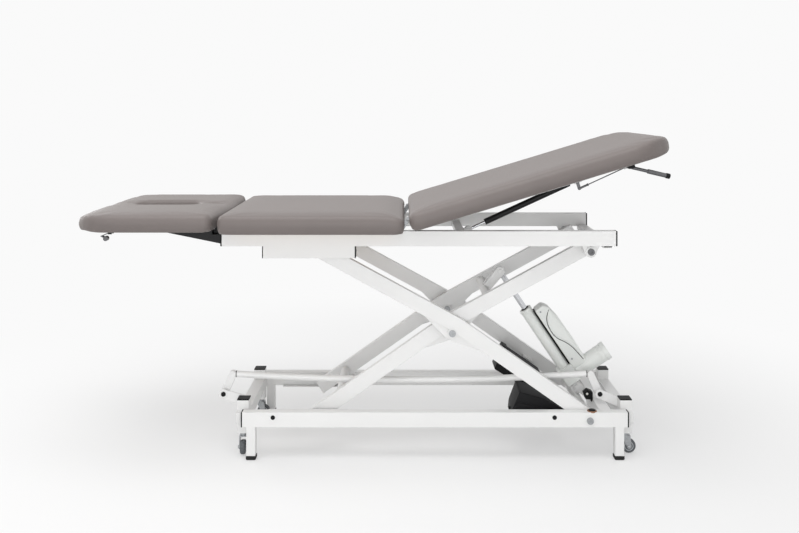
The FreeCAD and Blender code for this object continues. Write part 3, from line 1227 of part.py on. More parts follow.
def build_head_section():
    """The head section's wedge arms, cross bar, gas spring and release lever."""
    bottom = pad_top - size.head_pad_thick - hinge_z
    plate_in = hinge_inner_y + size.hinge_plate + size.ear_gap / 2
    plate_out = plate_in + size.hinge_plate
    radius = size.knuckle_radius
    end_x = size.wedge_end
    pieces = []
    for _, sign in SIDES:
        wedge_y = mirrored(sign, wedge_inner_y, wedge_inner_y + size.wedge_width)
        pieces.append(prism(HEAD, "XZ_Plane", [
            (end_x, -size.wedge_bottom), (end_x, -size.wedge_top),
            (end_x - size.wedge_step, -size.wedge_top), (end_x - size.wedge_step, bottom),
            (end_x - size.wedge_length, bottom), (end_x - size.wedge_length, -size.wedge_tip)],
            wedge_y))
        pieces.append(block(HEAD, (end_x, end_x + size.stop_plate), wedge_y,
                            (-size.stop_drop, -size.wedge_top)))
        pieces.append(prism(HEAD, "XZ_Plane", [
            (-radius, ZERO), (-size.wedge_step, -size.wedge_top),
            (-size.wedge_step, -size.wedge_bottom + size.wedge_width), (end_x, -size.wedge_top),
            (radius, ZERO)],
            mirrored(sign, plate_in, plate_out), discs=[(ZERO, ZERO, radius)],
            holes=[(ZERO, ZERO, size.hinge_pin_radius + size.running_gap)]))
        pieces.append(block(HEAD, (-size.strap_length, end_x - size.wedge_length), around(
            (wedge_inner_y + size.wedge_width / 2) * sign, size.wedge_width),
            (bottom - size.strap_thick, bottom)))
    x, z = -size.head_moving_eye_x, -size.head_moving_eye_drop
    bar_z = (bottom - size.cross_depth, bottom)
    pieces.append(block(HEAD, around(x, size.cross_width),
                        (-wedge_inner_y, wedge_inner_y), bar_z))
    half = size.ear_radius
    pieces += eye_ears(HEAD, x, z, [
        (x - half, z), (x + half, z), (x + half, bar_z[0]), (x - half, bar_z[0])])
    # Bracket for the release lever, reaching out from the near strap
    lever_half = size.head_lever_width / 2
    lever_x, lever_z = -size.head_lever_x - size.lever_hub_radius, bottom - size.head_lever_drop
    strap_x = (-size.strap_length, -size.head_lever_x + size.lever_hub_radius)
    bracket_out = head_lever_y + lever_half + size.face_gap + size.ear_plate
    pieces.append(block(HEAD, strap_x, (-bracket_out, -wedge_inner_y),
                        (bottom - size.strip_thick, bottom)))
    hub = size.lever_hub_radius
    for edge in (-1, 1):
        cheek = mirrored(edge, lever_half + size.face_gap,
                         lever_half + size.face_gap + size.ear_plate)
        pieces.append(block(HEAD, around(lever_x, hub * 2),
                            (cheek[0] - head_lever_y, cheek[1] - head_lever_y),
                            (lever_z - hub, bottom - size.strip_thick)))
    pin = rod(HEAD, "Y", lever_x, lever_z, size.lever_pin_radius,
              (-bracket_out, -head_lever_y + lever_half + size.face_gap + size.ear_plate))
    named(fuse(*pieces, pin), "head_section_frame")

    lever_y = around(-head_lever_y, size.head_lever_width)
    reach_x, reach_z = lever_x - size.head_lever_run, lever_z - size.head_lever_fall
    thick = size.head_lever_plate
    run = span(size.head_lever_run, size.head_lever_fall)
    side_x = size.head_lever_fall / run * thick / 2
    side_z = size.head_lever_run / run * thick / 2
    blade = prism(HEAD, "XZ_Plane", [
        (lever_x + side_x, lever_z - side_z), (lever_x - side_x, lever_z + side_z),
        (reach_x - side_x, reach_z + side_z), (reach_x + side_x, reach_z - side_z)], lever_y)
    knob_x, knob_z = reach_x + size.knob_back, reach_z - size.knob_drop
    return_leg = prism(HEAD, "XZ_Plane", [
        (reach_x - thick / 2, reach_z), (knob_x, knob_z - thick / 2),
        (knob_x, knob_z + thick / 2), (reach_x + thick, reach_z + thick / 2)], lever_y)
    knob = rod(HEAD, "Y", knob_x, knob_z, size.knob_radius, lever_y)
    ring = rod(HEAD, "Y", lever_x, lever_z, hub - size.face_gap * 2, lever_y)
    named(cut(fuse(blade, return_leg, knob, ring),
              rod(HEAD, "Y", lever_x, lever_z, size.lever_pin_radius + size.running_gap,
                  lever_y)), "head_release_lever")

    half_eye = (-size.eye_width / 2, size.eye_width / 2)
    bore = size.spring_pin_radius + size.running_gap
    rod_bore = size.spring_rod_radius + size.spring_bore_gap
    eye = rod(HEAD_SPRING, "Y", ZERO, ZERO, size.eye_radius, half_eye)
    body = rod(HEAD_SPRING, "X", ZERO, ZERO, size.spring_radius,
               (size.spring_tail, size.head_spring_end))
    link = rod(HEAD_SPRING, "X", ZERO, ZERO, size.spring_rod_radius, (ZERO, size.spring_tail))
    named(cut(fuse(eye, body, link), rod(HEAD_SPRING, "Y", ZERO, ZERO, bore, half_eye),
              rod(HEAD_SPRING, "X", ZERO, ZERO, rod_bore,
                  (size.head_spring_bore_start, size.head_spring_end))), "head_spring_cylinder")
    eye = rod(HEAD_SPRING, "Y", head_spring_length, ZERO, size.eye_radius, half_eye)
    link = rod(HEAD_SPRING, "X", ZERO, ZERO, size.spring_rod_radius,
               (size.head_spring_rod_start, head_spring_length))
    named(cut(fuse(eye, link), rod(HEAD_SPRING, "Y", head_spring_length, ZERO, bore, half_eye)),
          "head_spring_rod")


def build_leg_section():
    """The leg section's side bars, cross bar, gas spring, release rod and lever."""
    bottom = -hinge_to_bottom
    plate_in = hinge_inner_y + size.hinge_plate + size.ear_gap / 2
    plate_out = plate_in + size.hinge_plate
    radius = size.knuckle_radius
    bar_in, bar_out = plate_out, plate_out + size.side_tube_width
    low = bottom - size.side_tube_depth
    start, end = size.leg_frame_start, size.leg_frame_length
    bearing_low = bottom - size.bearing_depth
    shaft_z = bottom - size.lever_drop
    shaft_hole = size.lever_radius + size.running_gap
    pieces = []
    for _, sign in SIDES:
        bar_y = mirrored(sign, bar_in, bar_out)
        pieces.append(square_tube(LEG, (start, end), bar_y, (low, bottom), size.cross_wall, "X"))
        pieces.append(prism(LEG, "XZ_Plane", [
            (-radius, ZERO), (start, low), (start + size.knuckle_radius * 2, low),
            (start + size.knuckle_radius * 2, bottom), (radius, ZERO)],
            mirrored(sign, plate_in, plate_out), discs=[(ZERO, ZERO, radius)],
            holes=[(ZERO, ZERO, size.hinge_pin_radius + size.running_gap)]))
        pieces.append(block(LEG, (end, size.leg_frame_length + size.strip_offset), bar_y,
                            (bottom - size.strip_thick, bottom)))
        bearing = block(LEG, around(lever_along, size.bearing_length), bar_y,
                        (bearing_low, bottom - size.strip_thick))
        pieces.append(cut(bearing, rod(LEG, "Y", lever_along, shaft_z, shaft_hole, bar_y)))
    cross_x = around(size.leg_frame_cross, size.cross_width)
    pieces.append(block(LEG, cross_x, (-bar_in, bar_in), (low, bottom)))
    x, z = size.leg_top_eye_along, -size.leg_top_eye_drop
    half = size.ear_radius
    pieces += eye_ears(LEG, x, z, [
        (x - half, z), (x + half, z), (x + half, low), (x - half, low)])
    # The spring head's crank post, from which the release rod runs up to the lever's shaft
    post_x = x + size.ear_radius + size.crank_width
    post_low = z - size.crank_width
    rod_run = lever_along - size.crank_width - post_x
    rod_rise = shaft_z - size.crank_width - post_low
    angle = slope_angle(rod_run, rod_rise)
    pieces.append(block(LEG, around(post_x, size.crank_width), around(ZERO, size.eye_width),
                        (post_low, bottom)))
    pieces.append(block(LEG, (size.leg_frame_cross, post_x), around(ZERO, size.eye_width),
                        (low, bottom)))
    release = LEG.at(post_x, ZERO, post_low, (0, 1, 0), -angle)
    pieces.append(rod(release, "X", ZERO, ZERO, size.release_rod_radius,
                      (-size.crank_width, span(rod_run, rod_rise) - size.crank_width)))
    named(fuse(*pieces, through_pin(LEG, x, z)), "leg_section_frame")

    crank_z = shaft_z - size.crank_length
    shaft = rod(LEG, "Y", lever_along, shaft_z, size.lever_radius, (-lever_y, bar_out))
    crank = prism(LEG, "XZ_Plane", [
        (lever_along - size.crank_width / 2, shaft_z),
        (lever_along - size.crank_width / 2, crank_z),
        (lever_along + size.crank_width / 2, crank_z),
        (lever_along + size.crank_width / 2, shaft_z)],
        around(ZERO, size.crank_width))
    droop = LEG.at(lever_along, ZERO, shaft_z, (0, 1, 0), size.lever_droop_angle)
    handle = rod(droop, "X", -lever_y, ZERO, size.lever_radius, (ZERO, size.lever_length))
    grip = rod(droop, "X", -lever_y, ZERO, size.lever_grip_radius,
               (size.lever_length - size.lever_grip, size.lever_length + size.clip_thick))
    named(fuse(shaft, crank, handle, grip), "leg_release_lever")

    half_eye = (-size.eye_width / 2, size.eye_width / 2)
    bore = size.spring_pin_radius + size.running_gap
    rod_bore = size.spring_rod_radius + size.spring_bore_gap
    length = leg_spring_length
    eye = rod(LEG_SPRING, "Y", length, ZERO, size.eye_radius, half_eye)
    body = rod(LEG_SPRING, "X", ZERO, ZERO, size.spring_radius,
               (size.leg_spring_start, length - size.spring_tail))
    link = rod(LEG_SPRING, "X", ZERO, ZERO, size.spring_rod_radius,
               (length - size.spring_tail, length))
    named(cut(fuse(eye, body, link), rod(LEG_SPRING, "Y", length, ZERO, bore, half_eye),
              rod(LEG_SPRING, "X", ZERO, ZERO, rod_bore,
                  (size.leg_spring_start, size.leg_spring_bore_end))), "leg_spring_cylinder")
    eye = rod(LEG_SPRING, "Y", ZERO, ZERO, size.eye_radius, half_eye)
    link = rod(LEG_SPRING, "X", ZERO, ZERO, size.spring_rod_radius,
               (ZERO, size.leg_spring_rod_end))
    named(cut(fuse(eye, link), rod(LEG_SPRING, "Y", ZERO, ZERO, bore, half_eye)),
          "leg_spring_rod")


build_base()
build_castors()
build_foot_bar()
build_scissor()
build_actuator()
build_top_frame()
build_pads()
build_head_section()
build_leg_section()
doc.recompute()

faults = []
for item in doc.Objects:
    if "Invalid" in item.State or "Error" in item.State:
        faults.append(f"{item.Name} {item.Label} {item.State}")
for item in SUBPARTS:
    if item.Shape.isNull() or not item.Shape.isValid():
        faults.append(f"{item.Label} has no valid shape")
if faults:
    raise RuntimeError("; ".join(faults))

os.makedirs("parts", exist_ok=True)
for item in SUBPARTS:
    item.Shape.exportStep(f"parts/{item.Label}.step")
    box = item.Shape.BoundBox
    print(f"{item.Label:26s} solids {len(item.Shape.Solids):2d}  volume {item.Shape.Volume:12.0f}  "
          f"X {box.XMin:8.1f} {box.XMax:8.1f}  Y {box.YMin:8.1f} {box.YMax:8.1f}  "
          f"Z {box.ZMin:7.1f} {box.ZMax:7.1f}")
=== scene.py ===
"""Looks for a scissor-lift treatment couch: upholstery, paint, plated parts and small fittings."""

import json
import math

import bmesh
import bpy
from mathutils import Matrix, Vector


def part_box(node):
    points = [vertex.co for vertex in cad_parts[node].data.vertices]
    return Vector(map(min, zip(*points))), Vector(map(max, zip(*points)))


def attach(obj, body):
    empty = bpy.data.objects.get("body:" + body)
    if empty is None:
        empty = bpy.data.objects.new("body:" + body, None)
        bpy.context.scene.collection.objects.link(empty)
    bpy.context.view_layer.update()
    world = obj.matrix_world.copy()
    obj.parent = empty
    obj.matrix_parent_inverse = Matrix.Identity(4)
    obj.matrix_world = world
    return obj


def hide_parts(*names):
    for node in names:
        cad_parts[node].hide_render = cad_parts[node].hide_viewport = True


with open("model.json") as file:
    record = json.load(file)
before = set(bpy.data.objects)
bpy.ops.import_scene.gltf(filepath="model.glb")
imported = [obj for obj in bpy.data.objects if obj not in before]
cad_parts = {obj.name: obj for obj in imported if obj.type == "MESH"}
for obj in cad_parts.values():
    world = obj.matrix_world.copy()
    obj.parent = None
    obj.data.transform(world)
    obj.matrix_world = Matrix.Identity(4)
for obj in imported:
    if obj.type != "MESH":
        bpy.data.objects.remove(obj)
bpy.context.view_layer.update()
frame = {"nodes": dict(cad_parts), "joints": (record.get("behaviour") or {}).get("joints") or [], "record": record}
JOINTS = {joint["name"]: joint for joint in frame["joints"]}

# Axes of the frame, as places in a vector
ACROSS = 1
UP = 2

# The photograph's viewpoint: a level camera in front of the near side
IMAGE_WIDTH = 799
IMAGE_HEIGHT = 533
FOCAL_PIXELS = 871
AXIS_PIXEL = (404, 105)
CAMERA_PLACE = (0.0984, -3.15, 1.189)
SENSOR_MM = 36.0

# The cushions, in metres: corners and rims, then the shape of the filled cover
LEG_TILT = math.radians(16.9)
LEG_PAD_OFFSET = 0.005
LEG_PAD_LENGTH = 0.911
HEAD_CORNER = 0.095
FOOT_CORNER = 0.140
SMALL_CORNER = 0.026
PAD_SLACK = 0.003
PAD_EDGE = 0.008
PAD_FOOT = 0.007
PAD_RISE = {"head_pad": 0.008, "seat_pad": 0.005, "leg_pad": 0.007}
PAD_CROWN = 0.003
CROWN_REACH = 0.11
SIDE_BULGE = 0.009
SIDE_REACH = 0.045
LIP_DROP = {"head_pad": 0.005, "seat_pad": 0.005, "leg_pad": -0.005}
LIP_REACH = 0.028
LIP_LEVEL = 0.3
ROLL_DROP = 0.011
ROLL_REACH = 0.085
ROLL_LEVEL = 0.4
FOAM_STEP = 0.0075
SWELL_SHARE = 0.5
SWELL_CAP = 0.0035
CLOTH_STEPS = 20

# The face opening and the staples
FACE_LENGTH = 0.232
FACE_WIDTH = 0.118
FACE_EDGE = 0.013
STAPLE_SIZE = (0.011, 0.0012, 0.0010)
STAPLE_SPACE = 0.032
STAPLE_INSET = 0.042
STAPLE_END_GAP = 0.050
STAPLE_SIDE_GAP = 0.070
STAPLE_TURN = math.radians(12)


# Shader arithmetic

class Wire:
    """One output of a finish's node, with arithmetic that adds Math nodes."""

    def __init__(self, finish, socket):
        self.finish = finish
        self.socket = socket

    def maths(self, operation, *values):
        """A Math node fed by outputs or plain numbers."""
        return self.finish.node("ShaderNodeMath", {"operation": operation}, dict(enumerate(values)))

    def __add__(self, other):
        return self.maths("ADD", self, other)

    def __radd__(self, other):
        return self.maths("ADD", other, self)

    def __mul__(self, other):
        return self.maths("MULTIPLY", self, other)

    def __rmul__(self, other):
        return self.maths("MULTIPLY", other, self)


class Finish:
    """A surface finish: a principled shader and the nodes that vary it over the surface."""

    def __init__(self, name, colour, roughness, metallic=0.0, **constants):
        self.material = bpy.data.materials.new(name)
        self.material.use_nodes = True
        self.material.diffuse_color = (*colour, 1.0)
        self.tree = self.material.node_tree
        self.shader = self.tree.nodes["Principled BSDF"]
        self.set("Base Color", (*colour, 1.0))
        self.set("Roughness", roughness)
        self.set("Metallic", metallic)
        for socket, value in constants.items():
            self.set(socket.replace("_", " "), value)
        self.place = self.node("ShaderNodeTexCoord", output="Object")

    def node(self, kind, settings=None, inputs=None, output=0):
        """Add a node, give it its settings and then its inputs, and return one of its outputs."""
        item = self.tree.nodes.new(kind)
        for name, value in (settings or {}).items():
            setattr(item, name, value)
        for name, value in (inputs or {}).items():
            self.feed(item.inputs[name], value)
        return Wire(self, item.outputs[output])

    def feed(self, socket, value):
        """Link an output to a socket, or set the socket's own value."""
        if isinstance(value, Wire):
            self.tree.links.new(value.socket, socket)
        else:
            socket.default_value = value

    def set(self, name, value):
        """Feed one of the shader's own sockets."""
        self.feed(self.shader.inputs[name], value)

    def noise(self, scale, detail=3.0, roughness=0.5, stretch=(1, 1, 1)):
        """Cloudy noise over the piece, drawn out where a stretch is given."""
        place = self.place
        if stretch != (1, 1, 1):
            place = self.node("ShaderNodeMapping", inputs={"Vector": place, "Scale": stretch})
        return self.node("ShaderNodeTexNoise", inputs={
            "Vector": place, "Scale": scale, "Detail": detail, "Roughness": roughness})

    def cells(self, scale, feature="DISTANCE_TO_EDGE"):
        """Small cells, by the distance to their edges or to their middles."""
        return self.node("ShaderNodeTexVoronoi", {"feature": feature},
                         {"Vector": self.place, "Scale": scale})

    def mix(self, share, first, second):
        """Blend two colours."""
        return self.node("ShaderNodeMix", {"data_type": "RGBA"},
                         {0: share, 6: (*first, 1.0), 7: (*second, 1.0)}, output=2)

    def narrow(self, value, low, high):
        """Spread the values between two limits over 0 to 1."""
        return self.node("ShaderNodeMapRange", inputs={
            "Value": value, "From Min": low, "From Max": high}, output="Result")

    def soft_edges(self, radius):
        """Normals that look rounded along the sharp edges."""
        return self.node("ShaderNodeBevel", {"samples": 4}, {"Radius": radius})

    def bump(self, height, distance, strength=1.0, under=None):
        """Small relief, over another normal where one is given."""
        inputs = {"Height": height, "Distance": distance, "Strength": strength}
        if under is not None:
            inputs["Normal"] = under
        return self.node("ShaderNodeBump", inputs=inputs)


def shades(colour, share):
    """A darker and a lighter form of a colour."""
    return (tuple(part * (1 - share) for part in colour),
            tuple(min(1.0, part * (1 + share)) for part in colour))


# Finishes

def leatherette():
    """Taupe coated fabric: fine pebble grain, soft sheen, faint tone changes."""
    finish = Finish("Leatherette", LEATHER, 0.46, Specular_IOR_Level=0.42, Sheen_Weight=0.06,
                    Sheen_Roughness=0.5, Sheen_Tint=(0.8, 0.76, 0.74, 1.0))
    dark, light = shades(LEATHER, 0.045)
    tone = finish.noise(5.0, 4.0, 0.6)
    grain = finish.cells(620.0)
    pits = finish.noise(1400.0, 2.0)
    finish.set("Base Color", finish.mix(finish.narrow(tone, 0.3, 0.7), dark, light))
    finish.set("Roughness", 0.42 + tone * 0.05 + pits * 0.06)
    pebble = finish.narrow(grain, 0.0, 0.25)
    ripple = finish.noise(14.0, 2.0)
    fine = finish.bump(pebble * 0.7 + pits * 0.3, 0.00016, 0.5)
    finish.set("Normal", finish.bump(ripple, 0.0012, 0.35, fine))
    return finish.material


def paint(name, colour, roughness, edge, gloss=0.5, coat=0.12):
    """Baked powder paint: faint orange peel, softened edges, slight change of gloss."""
    finish = Finish(name, colour, roughness, Specular_IOR_Level=gloss, Coat_Weight=coat,
                    Coat_Roughness=0.18)
    dark, light = shades(colour, 0.02)
    cloud = finish.noise(7.0, 3.0)
    peel = finish.noise(420.0, 2.0)
    finish.set("Base Color", finish.mix(cloud, dark, light))
    finish.set("Roughness", roughness - 0.04 + cloud * 0.08)
    finish.set("Normal", finish.bump(peel, 0.00008, 0.5, finish.soft_edges(edge)))
    return finish.material


def moulded(name, colour, roughness, grain, edge, gloss=0.45):
    """Moulded plastic with a fine spark-eroded grain."""
    finish = Finish(name, colour, roughness, Specular_IOR_Level=gloss)
    dark, light = shades(colour, 0.05)
    cloud = finish.noise(16.0, 3.0)
    pits = finish.noise(900.0, 3.0, 0.7)
    finish.set("Base Color", finish.mix(cloud, dark, light))
    finish.set("Roughness", roughness - 0.05 + pits * 0.1)
    finish.set("Normal", finish.bump(pits, grain, 0.6, finish.soft_edges(edge)))
    return finish.material


def plated(name, colour, roughness, patch, edge):
    """Zinc or chrome plating: cloudy patches and fine drawn lines."""
    finish = Finish(name, colour, roughness, 1.0)
    dark, light = shades(colour, patch)
    spangle = finish.cells(260.0, "F1")
    drawn = finish.noise(300.0, 4.0, 0.6, (1, 1, 0.08))
    finish.set("Base Color", finish.mix(finish.narrow(spangle, 0.0, 0.8), dark, light))
    finish.set("Roughness", roughness + drawn * 0.14)
    finish.set("Normal", finish.bump(drawn, 0.00003, 0.4, finish.soft_edges(edge)))
    return finish.material


def rubber(name, colour, roughness):
    """Dull rubber with a dusty bloom."""
    finish = Finish(name, colour, roughness, Specular_IOR_Level=0.3)
    bloom = finish.noise(40.0, 5.0, 0.65)
    dark, light = shades(colour, 0.2)
    finish.set("Base Color", finish.mix(finish.narrow(bloom, 0.35, 0.75), dark, light))
    finish.set("Roughness", roughness + bloom * 0.12)
    finish.set("Normal", finish.bump(finish.noise(1100.0, 2.0), 0.0001, 0.5,
                                     finish.soft_edges(0.0008)))
    return finish.material


def plywood():
    """Birch board: long grain, pores and a few darker streaks."""
    finish = Finish("Birch_board", BIRCH, 0.62, Specular_IOR_Level=0.3)
    grain = finish.noise(26.0, 6.0, 0.62, (0.25, 3.0, 1.0))
    pores = finish.noise(240.0, 3.0, 0.6, (0.12, 4.0, 1.0))
    dark, light = shades(BIRCH, 0.22)
    finish.set("Base Color", finish.mix(finish.narrow(grain * 0.75 + pores * 0.25, 0.3, 0.7),
                                        dark, light))
    finish.set("Roughness", 0.55 + pores * 0.15)
    finish.set("Normal", finish.bump(pores, 0.0002, 0.4))
    return finish.material


LEATHER = (0.158, 0.136, 0.129)
BIRCH = (0.50, 0.33, 0.185)
FINISHES = {
    "white_paint": paint("White_powder_paint", (0.76, 0.76, 0.755), 0.36, 0.0018),
    "black_paint": paint("Black_satin_paint", (0.010, 0.010, 0.011), 0.40, 0.0010, 0.22, 0.03),
    "black_plastic": moulded("Black_moulding", (0.009, 0.009, 0.010), 0.55, 0.0001, 0.0012, 0.15),
    "pale_plastic": moulded("Pale_grey_moulding", (0.78, 0.80, 0.775), 0.40, 0.0001, 0.0020),
    "upholstery": leatherette(),
    "board": plywood(),
    "zinc": plated("Zinc_plate", (0.34, 0.35, 0.36), 0.30, 0.14, 0.0006),
    "dark_steel": plated("Darkened_steel", (0.13, 0.13, 0.135), 0.38, 0.15, 0.0008),
    "chrome": plated("Bright_chrome", (0.60, 0.61, 0.63), 0.12, 0.03, 0.0006),
    "rubber": rubber("Foot_rubber", (0.012, 0.012, 0.012), 0.66),
    "grey_tyre": rubber("Tyre_rubber", (0.030, 0.031, 0.033), 0.60),
    "nylon": moulded("White_nylon", (0.72, 0.71, 0.68), 0.40, 0.00008, 0.0010),
}
COPPER = plated("Copper_wash", (0.30, 0.17, 0.11), 0.34, 0.08, 0.0004)
TYRE = rubber("Wheel_tread", (0.110, 0.118, 0.125), 0.55)
HUB = moulded("Wheel_hub", (0.46, 0.48, 0.50), 0.45, 0.0001, 0.0008)
SLOTS = {row["node"]: row["material_slot"] for row in frame["record"]["subparts"]}


# Modelling

def leave_edit():
    """Go back to object mode."""
    if bpy.context.object and bpy.context.object.mode != "OBJECT":
        bpy.ops.object.mode_set(mode="OBJECT")


def only(item):
    """Select one object and make it active."""
    leave_edit()
    bpy.ops.object.select_all(action="DESELECT")
    item.select_set(True)
    bpy.context.view_layer.objects.active = item
    return item


def placed(name):
    """Name the new primitive and put its place into its mesh."""
    item = bpy.context.object
    item.name = name
    item.data.name = name
    bpy.ops.object.transform_apply(location=True, rotation=True, scale=True)
    return item


def add_block(name, low, high):
    """A block between two corners."""
    leave_edit()
    bpy.ops.object.select_all(action="DESELECT")
    low, high = Vector(low), Vector(high)
    bpy.ops.mesh.primitive_cube_add(size=1, location=(low + high) / 2, scale=high - low)
    return placed(name)


def add_rod(name, start, end, radius, sides=32):
    """A cylinder from one point to another."""
    leave_edit()
    bpy.ops.object.select_all(action="DESELECT")
    start, end = Vector(start), Vector(end)
    turn = (end - start).to_track_quat("Z", "Y").to_euler()
    bpy.ops.mesh.primitive_cone_add(
        vertices=sides, radius1=radius, radius2=radius, depth=(end - start).length,
        location=(start + end) / 2, rotation=turn)
    return placed(name)


def add_ring(name, centre, direction, radius, thickness, around=40, section=10):
    """A round ring about a direction."""
    leave_edit()
    bpy.ops.object.select_all(action="DESELECT")
    turn = Vector(direction).to_track_quat("Z", "Y").to_euler()
    bpy.ops.mesh.primitive_torus_add(
        major_radius=radius, minor_radius=thickness, major_segments=around,
        minor_segments=section, location=centre, rotation=turn)
    return placed(name)


def pick(item, kind, test):
    """In edit mode, select only the edges or faces whose middle passes a test, and count them."""
    only(item)
    bpy.ops.object.mode_set(mode="EDIT")
    bpy.ops.mesh.select_mode(type=kind)
    bpy.ops.mesh.select_all(action="DESELECT")
    mesh = bmesh.from_edit_mesh(item.data)
    mesh.normal_update()
    group = {"EDGE": mesh.edges, "FACE": mesh.faces}[kind]
    count = 0
    for element in group:
        if kind == "EDGE":
            middle = (element.verts[0].co + element.verts[1].co) / 2
        else:
            middle = element.calc_center_median()
        if test(middle, element):
            element.select_set(True)
            count += 1
    mesh.select_flush_mode()
    bmesh.update_edit_mesh(item.data)
    return count


def bevel(item, test, width, segments=3):
    """Round the edges that pass a test."""
    if pick(item, "EDGE", test):
        bpy.ops.mesh.bevel(offset=width, segments=segments, affect="EDGES", clamp_overlap=True)
    leave_edit()
    return item


def bevel_across(item, axis, width, segments, least=0.01, test=None):
    """Round the edges that run along an axis of the frame, or those of them that pass a test."""
    def runs(place, edge):
        return (abs(edge.verts[0].co[axis] - edge.verts[1].co[axis]) > least
                and (test is None or test(place)))

    return bevel(item, runs, width, segments)


def is_sharp(edge, limit=0.5):
    """Whether the faces at an edge turn by more than a limit, in radians."""
    return edge.is_manifold and edge.calc_face_angle() > limit


def bevel_sharp(item, width, segments=3, angle=40):
    """Round every edge where the surface turns by more than an angle, in degrees."""
    return bevel(item, lambda place, edge: is_sharp(edge, math.radians(angle)), width, segments)


def apply_modifier(item, kind, **settings):
    """Add a modifier with its settings and apply it."""
    only(item)
    modifier = item.modifiers.new(kind.title(), kind)
    for name, value in settings.items():
        setattr(modifier, name, value)
    bpy.ops.object.modifier_apply(modifier=modifier.name)
    return item


def join(name, items):
    """One mesh of several."""
    leave_edit()
    bpy.ops.object.select_all(action="DESELECT")
    for item in items:
        item.select_set(True)
    bpy.context.view_layer.objects.active = items[0]
    if len(items) > 1:
        bpy.ops.object.join()
    items[0].name = name
    items[0].data.name = name
    return items[0]


def copies(item, moves):
    """Copies of a piece, each with its own mesh, moved by a matrix each."""
    made = []
    for move in moves:
        twin = item.copy()
        twin.data = item.data.copy()
        twin.data.transform(move)
        bpy.context.collection.objects.link(twin)
        made.append(twin)
    return made


def dress(item, body, slot, material=None, smooth=35, nodes=(), move=None):
    """Put a piece in its place, and give it its finish, its shading and the body that it rides on."""
    if move is not None:
        item.data.transform(move)
    only(item)
    item.data.materials.clear()
    item.data.materials.append(material or FINISHES[slot])
    bpy.ops.object.shade_smooth_by_angle(angle=math.radians(smooth))
    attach(item, body)
    if nodes:
        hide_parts(*nodes)
    return item


def joint_place(name):
    """A point on a joint's axis at rest."""
    return Vector(JOINTS[name]["pos_m"])


def turned(angle, centre):
    """A turn about the Y direction through a point, lifting +X for a positive angle."""
    return (Matrix.Translation(centre) @ Matrix.Rotation(-angle, 4, "Y")
            @ Matrix.Translation(-Vector(centre)))


# Upholstery

def rounded_plate(name, low, high, corners, top_edge, bottom_edge):
    """A block with rounded plan corners, one radius per end, and softened rims."""
    def on_side(edge):
        return (len(edge.link_faces) == 2
                and min(abs(face.normal.z) for face in edge.link_faces) < 0.5)

    item = add_block(name, low, high)
    middle = (low[0] + high[0]) / 2
    for sign, radius in ((-1, corners[0]), (1, corners[1])):
        bevel_across(item, UP, radius, 12, test=lambda place: (place.x - middle) * sign > 0)
    flat = 1e-5
    bevel(item, lambda place, edge: place.z > high[2] - flat and on_side(edge), top_edge, 7)
    bevel(item, lambda place, edge: place.z < low[2] + flat and on_side(edge), bottom_edge, 3)
    return item


def face_hole(item, centre, low, high):
    """A rounded slot through a pad, with a soft rolled rim."""
    radius = FACE_WIDTH / 2
    cutter = add_block("Face_slot", (centre.x - FACE_LENGTH / 2, -radius, low - 0.02),
                       (centre.x + FACE_LENGTH / 2, radius, high + 0.02))
    bevel_across(cutter, UP, radius * 0.999, 16)
    apply_modifier(item, "BOOLEAN", object=cutter, operation="DIFFERENCE", solver="EXACT")
    bpy.data.objects.remove(cutter)

    def on_rim(place, edge, level):
        return (abs(place.z - level) < 1e-4 and abs(place.x - centre.x) < FACE_LENGTH / 2 + 0.001
                and abs(place.y) < radius + 0.001 and is_sharp(edge, 0.8))

    bevel(item, lambda place, edge: on_rim(place, edge, high), FACE_EDGE, 6)
    bevel(item, lambda place, edge: on_rim(place, edge, low), PAD_FOOT * 0.7, 2)
    return item


def stuffed(item, board_z):
    """Give a pad an even fine mesh, a cover pulled over its foam and soft rims."""
    apply_modifier(item, "REMESH", mode="VOXEL", voxel_size=FOAM_STEP)
    swollen(item, board_z)
    apply_modifier(item, "SMOOTH", factor=0.5, iterations=2)
    return item


def swollen(item, board_z):
    """Swell a cover as cloth under pressure, held where it is stapled, and keep a share of it."""
    rest = [vertex.co.copy() for vertex in item.data.vertices]
    held = item.vertex_groups.new(name="stapled")
    held.add([vertex.index for vertex in item.data.vertices if vertex.co.z < board_z + 0.002],
             1.0, "REPLACE")
    cloth = item.modifiers.new("Cover", "CLOTH")
    cloth.settings.quality = 6
    cloth.settings.mass = 0.35
    cloth.settings.tension_stiffness = 25
    cloth.settings.compression_stiffness = 25
    cloth.settings.bending_stiffness = 1.2
    cloth.settings.use_pressure = True
    cloth.settings.uniform_pressure_force = 4.0
    cloth.settings.vertex_group_mass = held.name
    cloth.settings.effector_weights.gravity = 0.0
    scene = bpy.context.scene
    for step in range(1, CLOTH_STEPS + 1):
        scene.frame_set(step)
    only(item)
    bpy.ops.object.modifier_apply(modifier=cloth.name)
    item.vertex_groups.clear()
    scene.frame_set(1)
    for vertex, start in zip(item.data.vertices, rest):
        move = (vertex.co - start) * SWELL_SHARE
        if move.length > SWELL_CAP:
            move = move.normalized() * SWELL_CAP
        vertex.co = start + move
    return item


def crown(item, low, high):
    """Raise the top a little towards its middle."""
    middle = (low + high) / 2
    half = (high - low) / 2
    for vertex in item.data.vertices:
        place = vertex.co
        if place.z > middle.z:
            lift = min(1.0, (place.z - middle.z) / (half.z * 0.8))
            for axis in (0, 1):
                reach = min(1.0, (half[axis] - abs(place[axis] - middle[axis])) / CROWN_REACH)
                lift *= math.sin(max(0.0, reach) * math.pi / 2)
            place.z += PAD_CROWN * lift


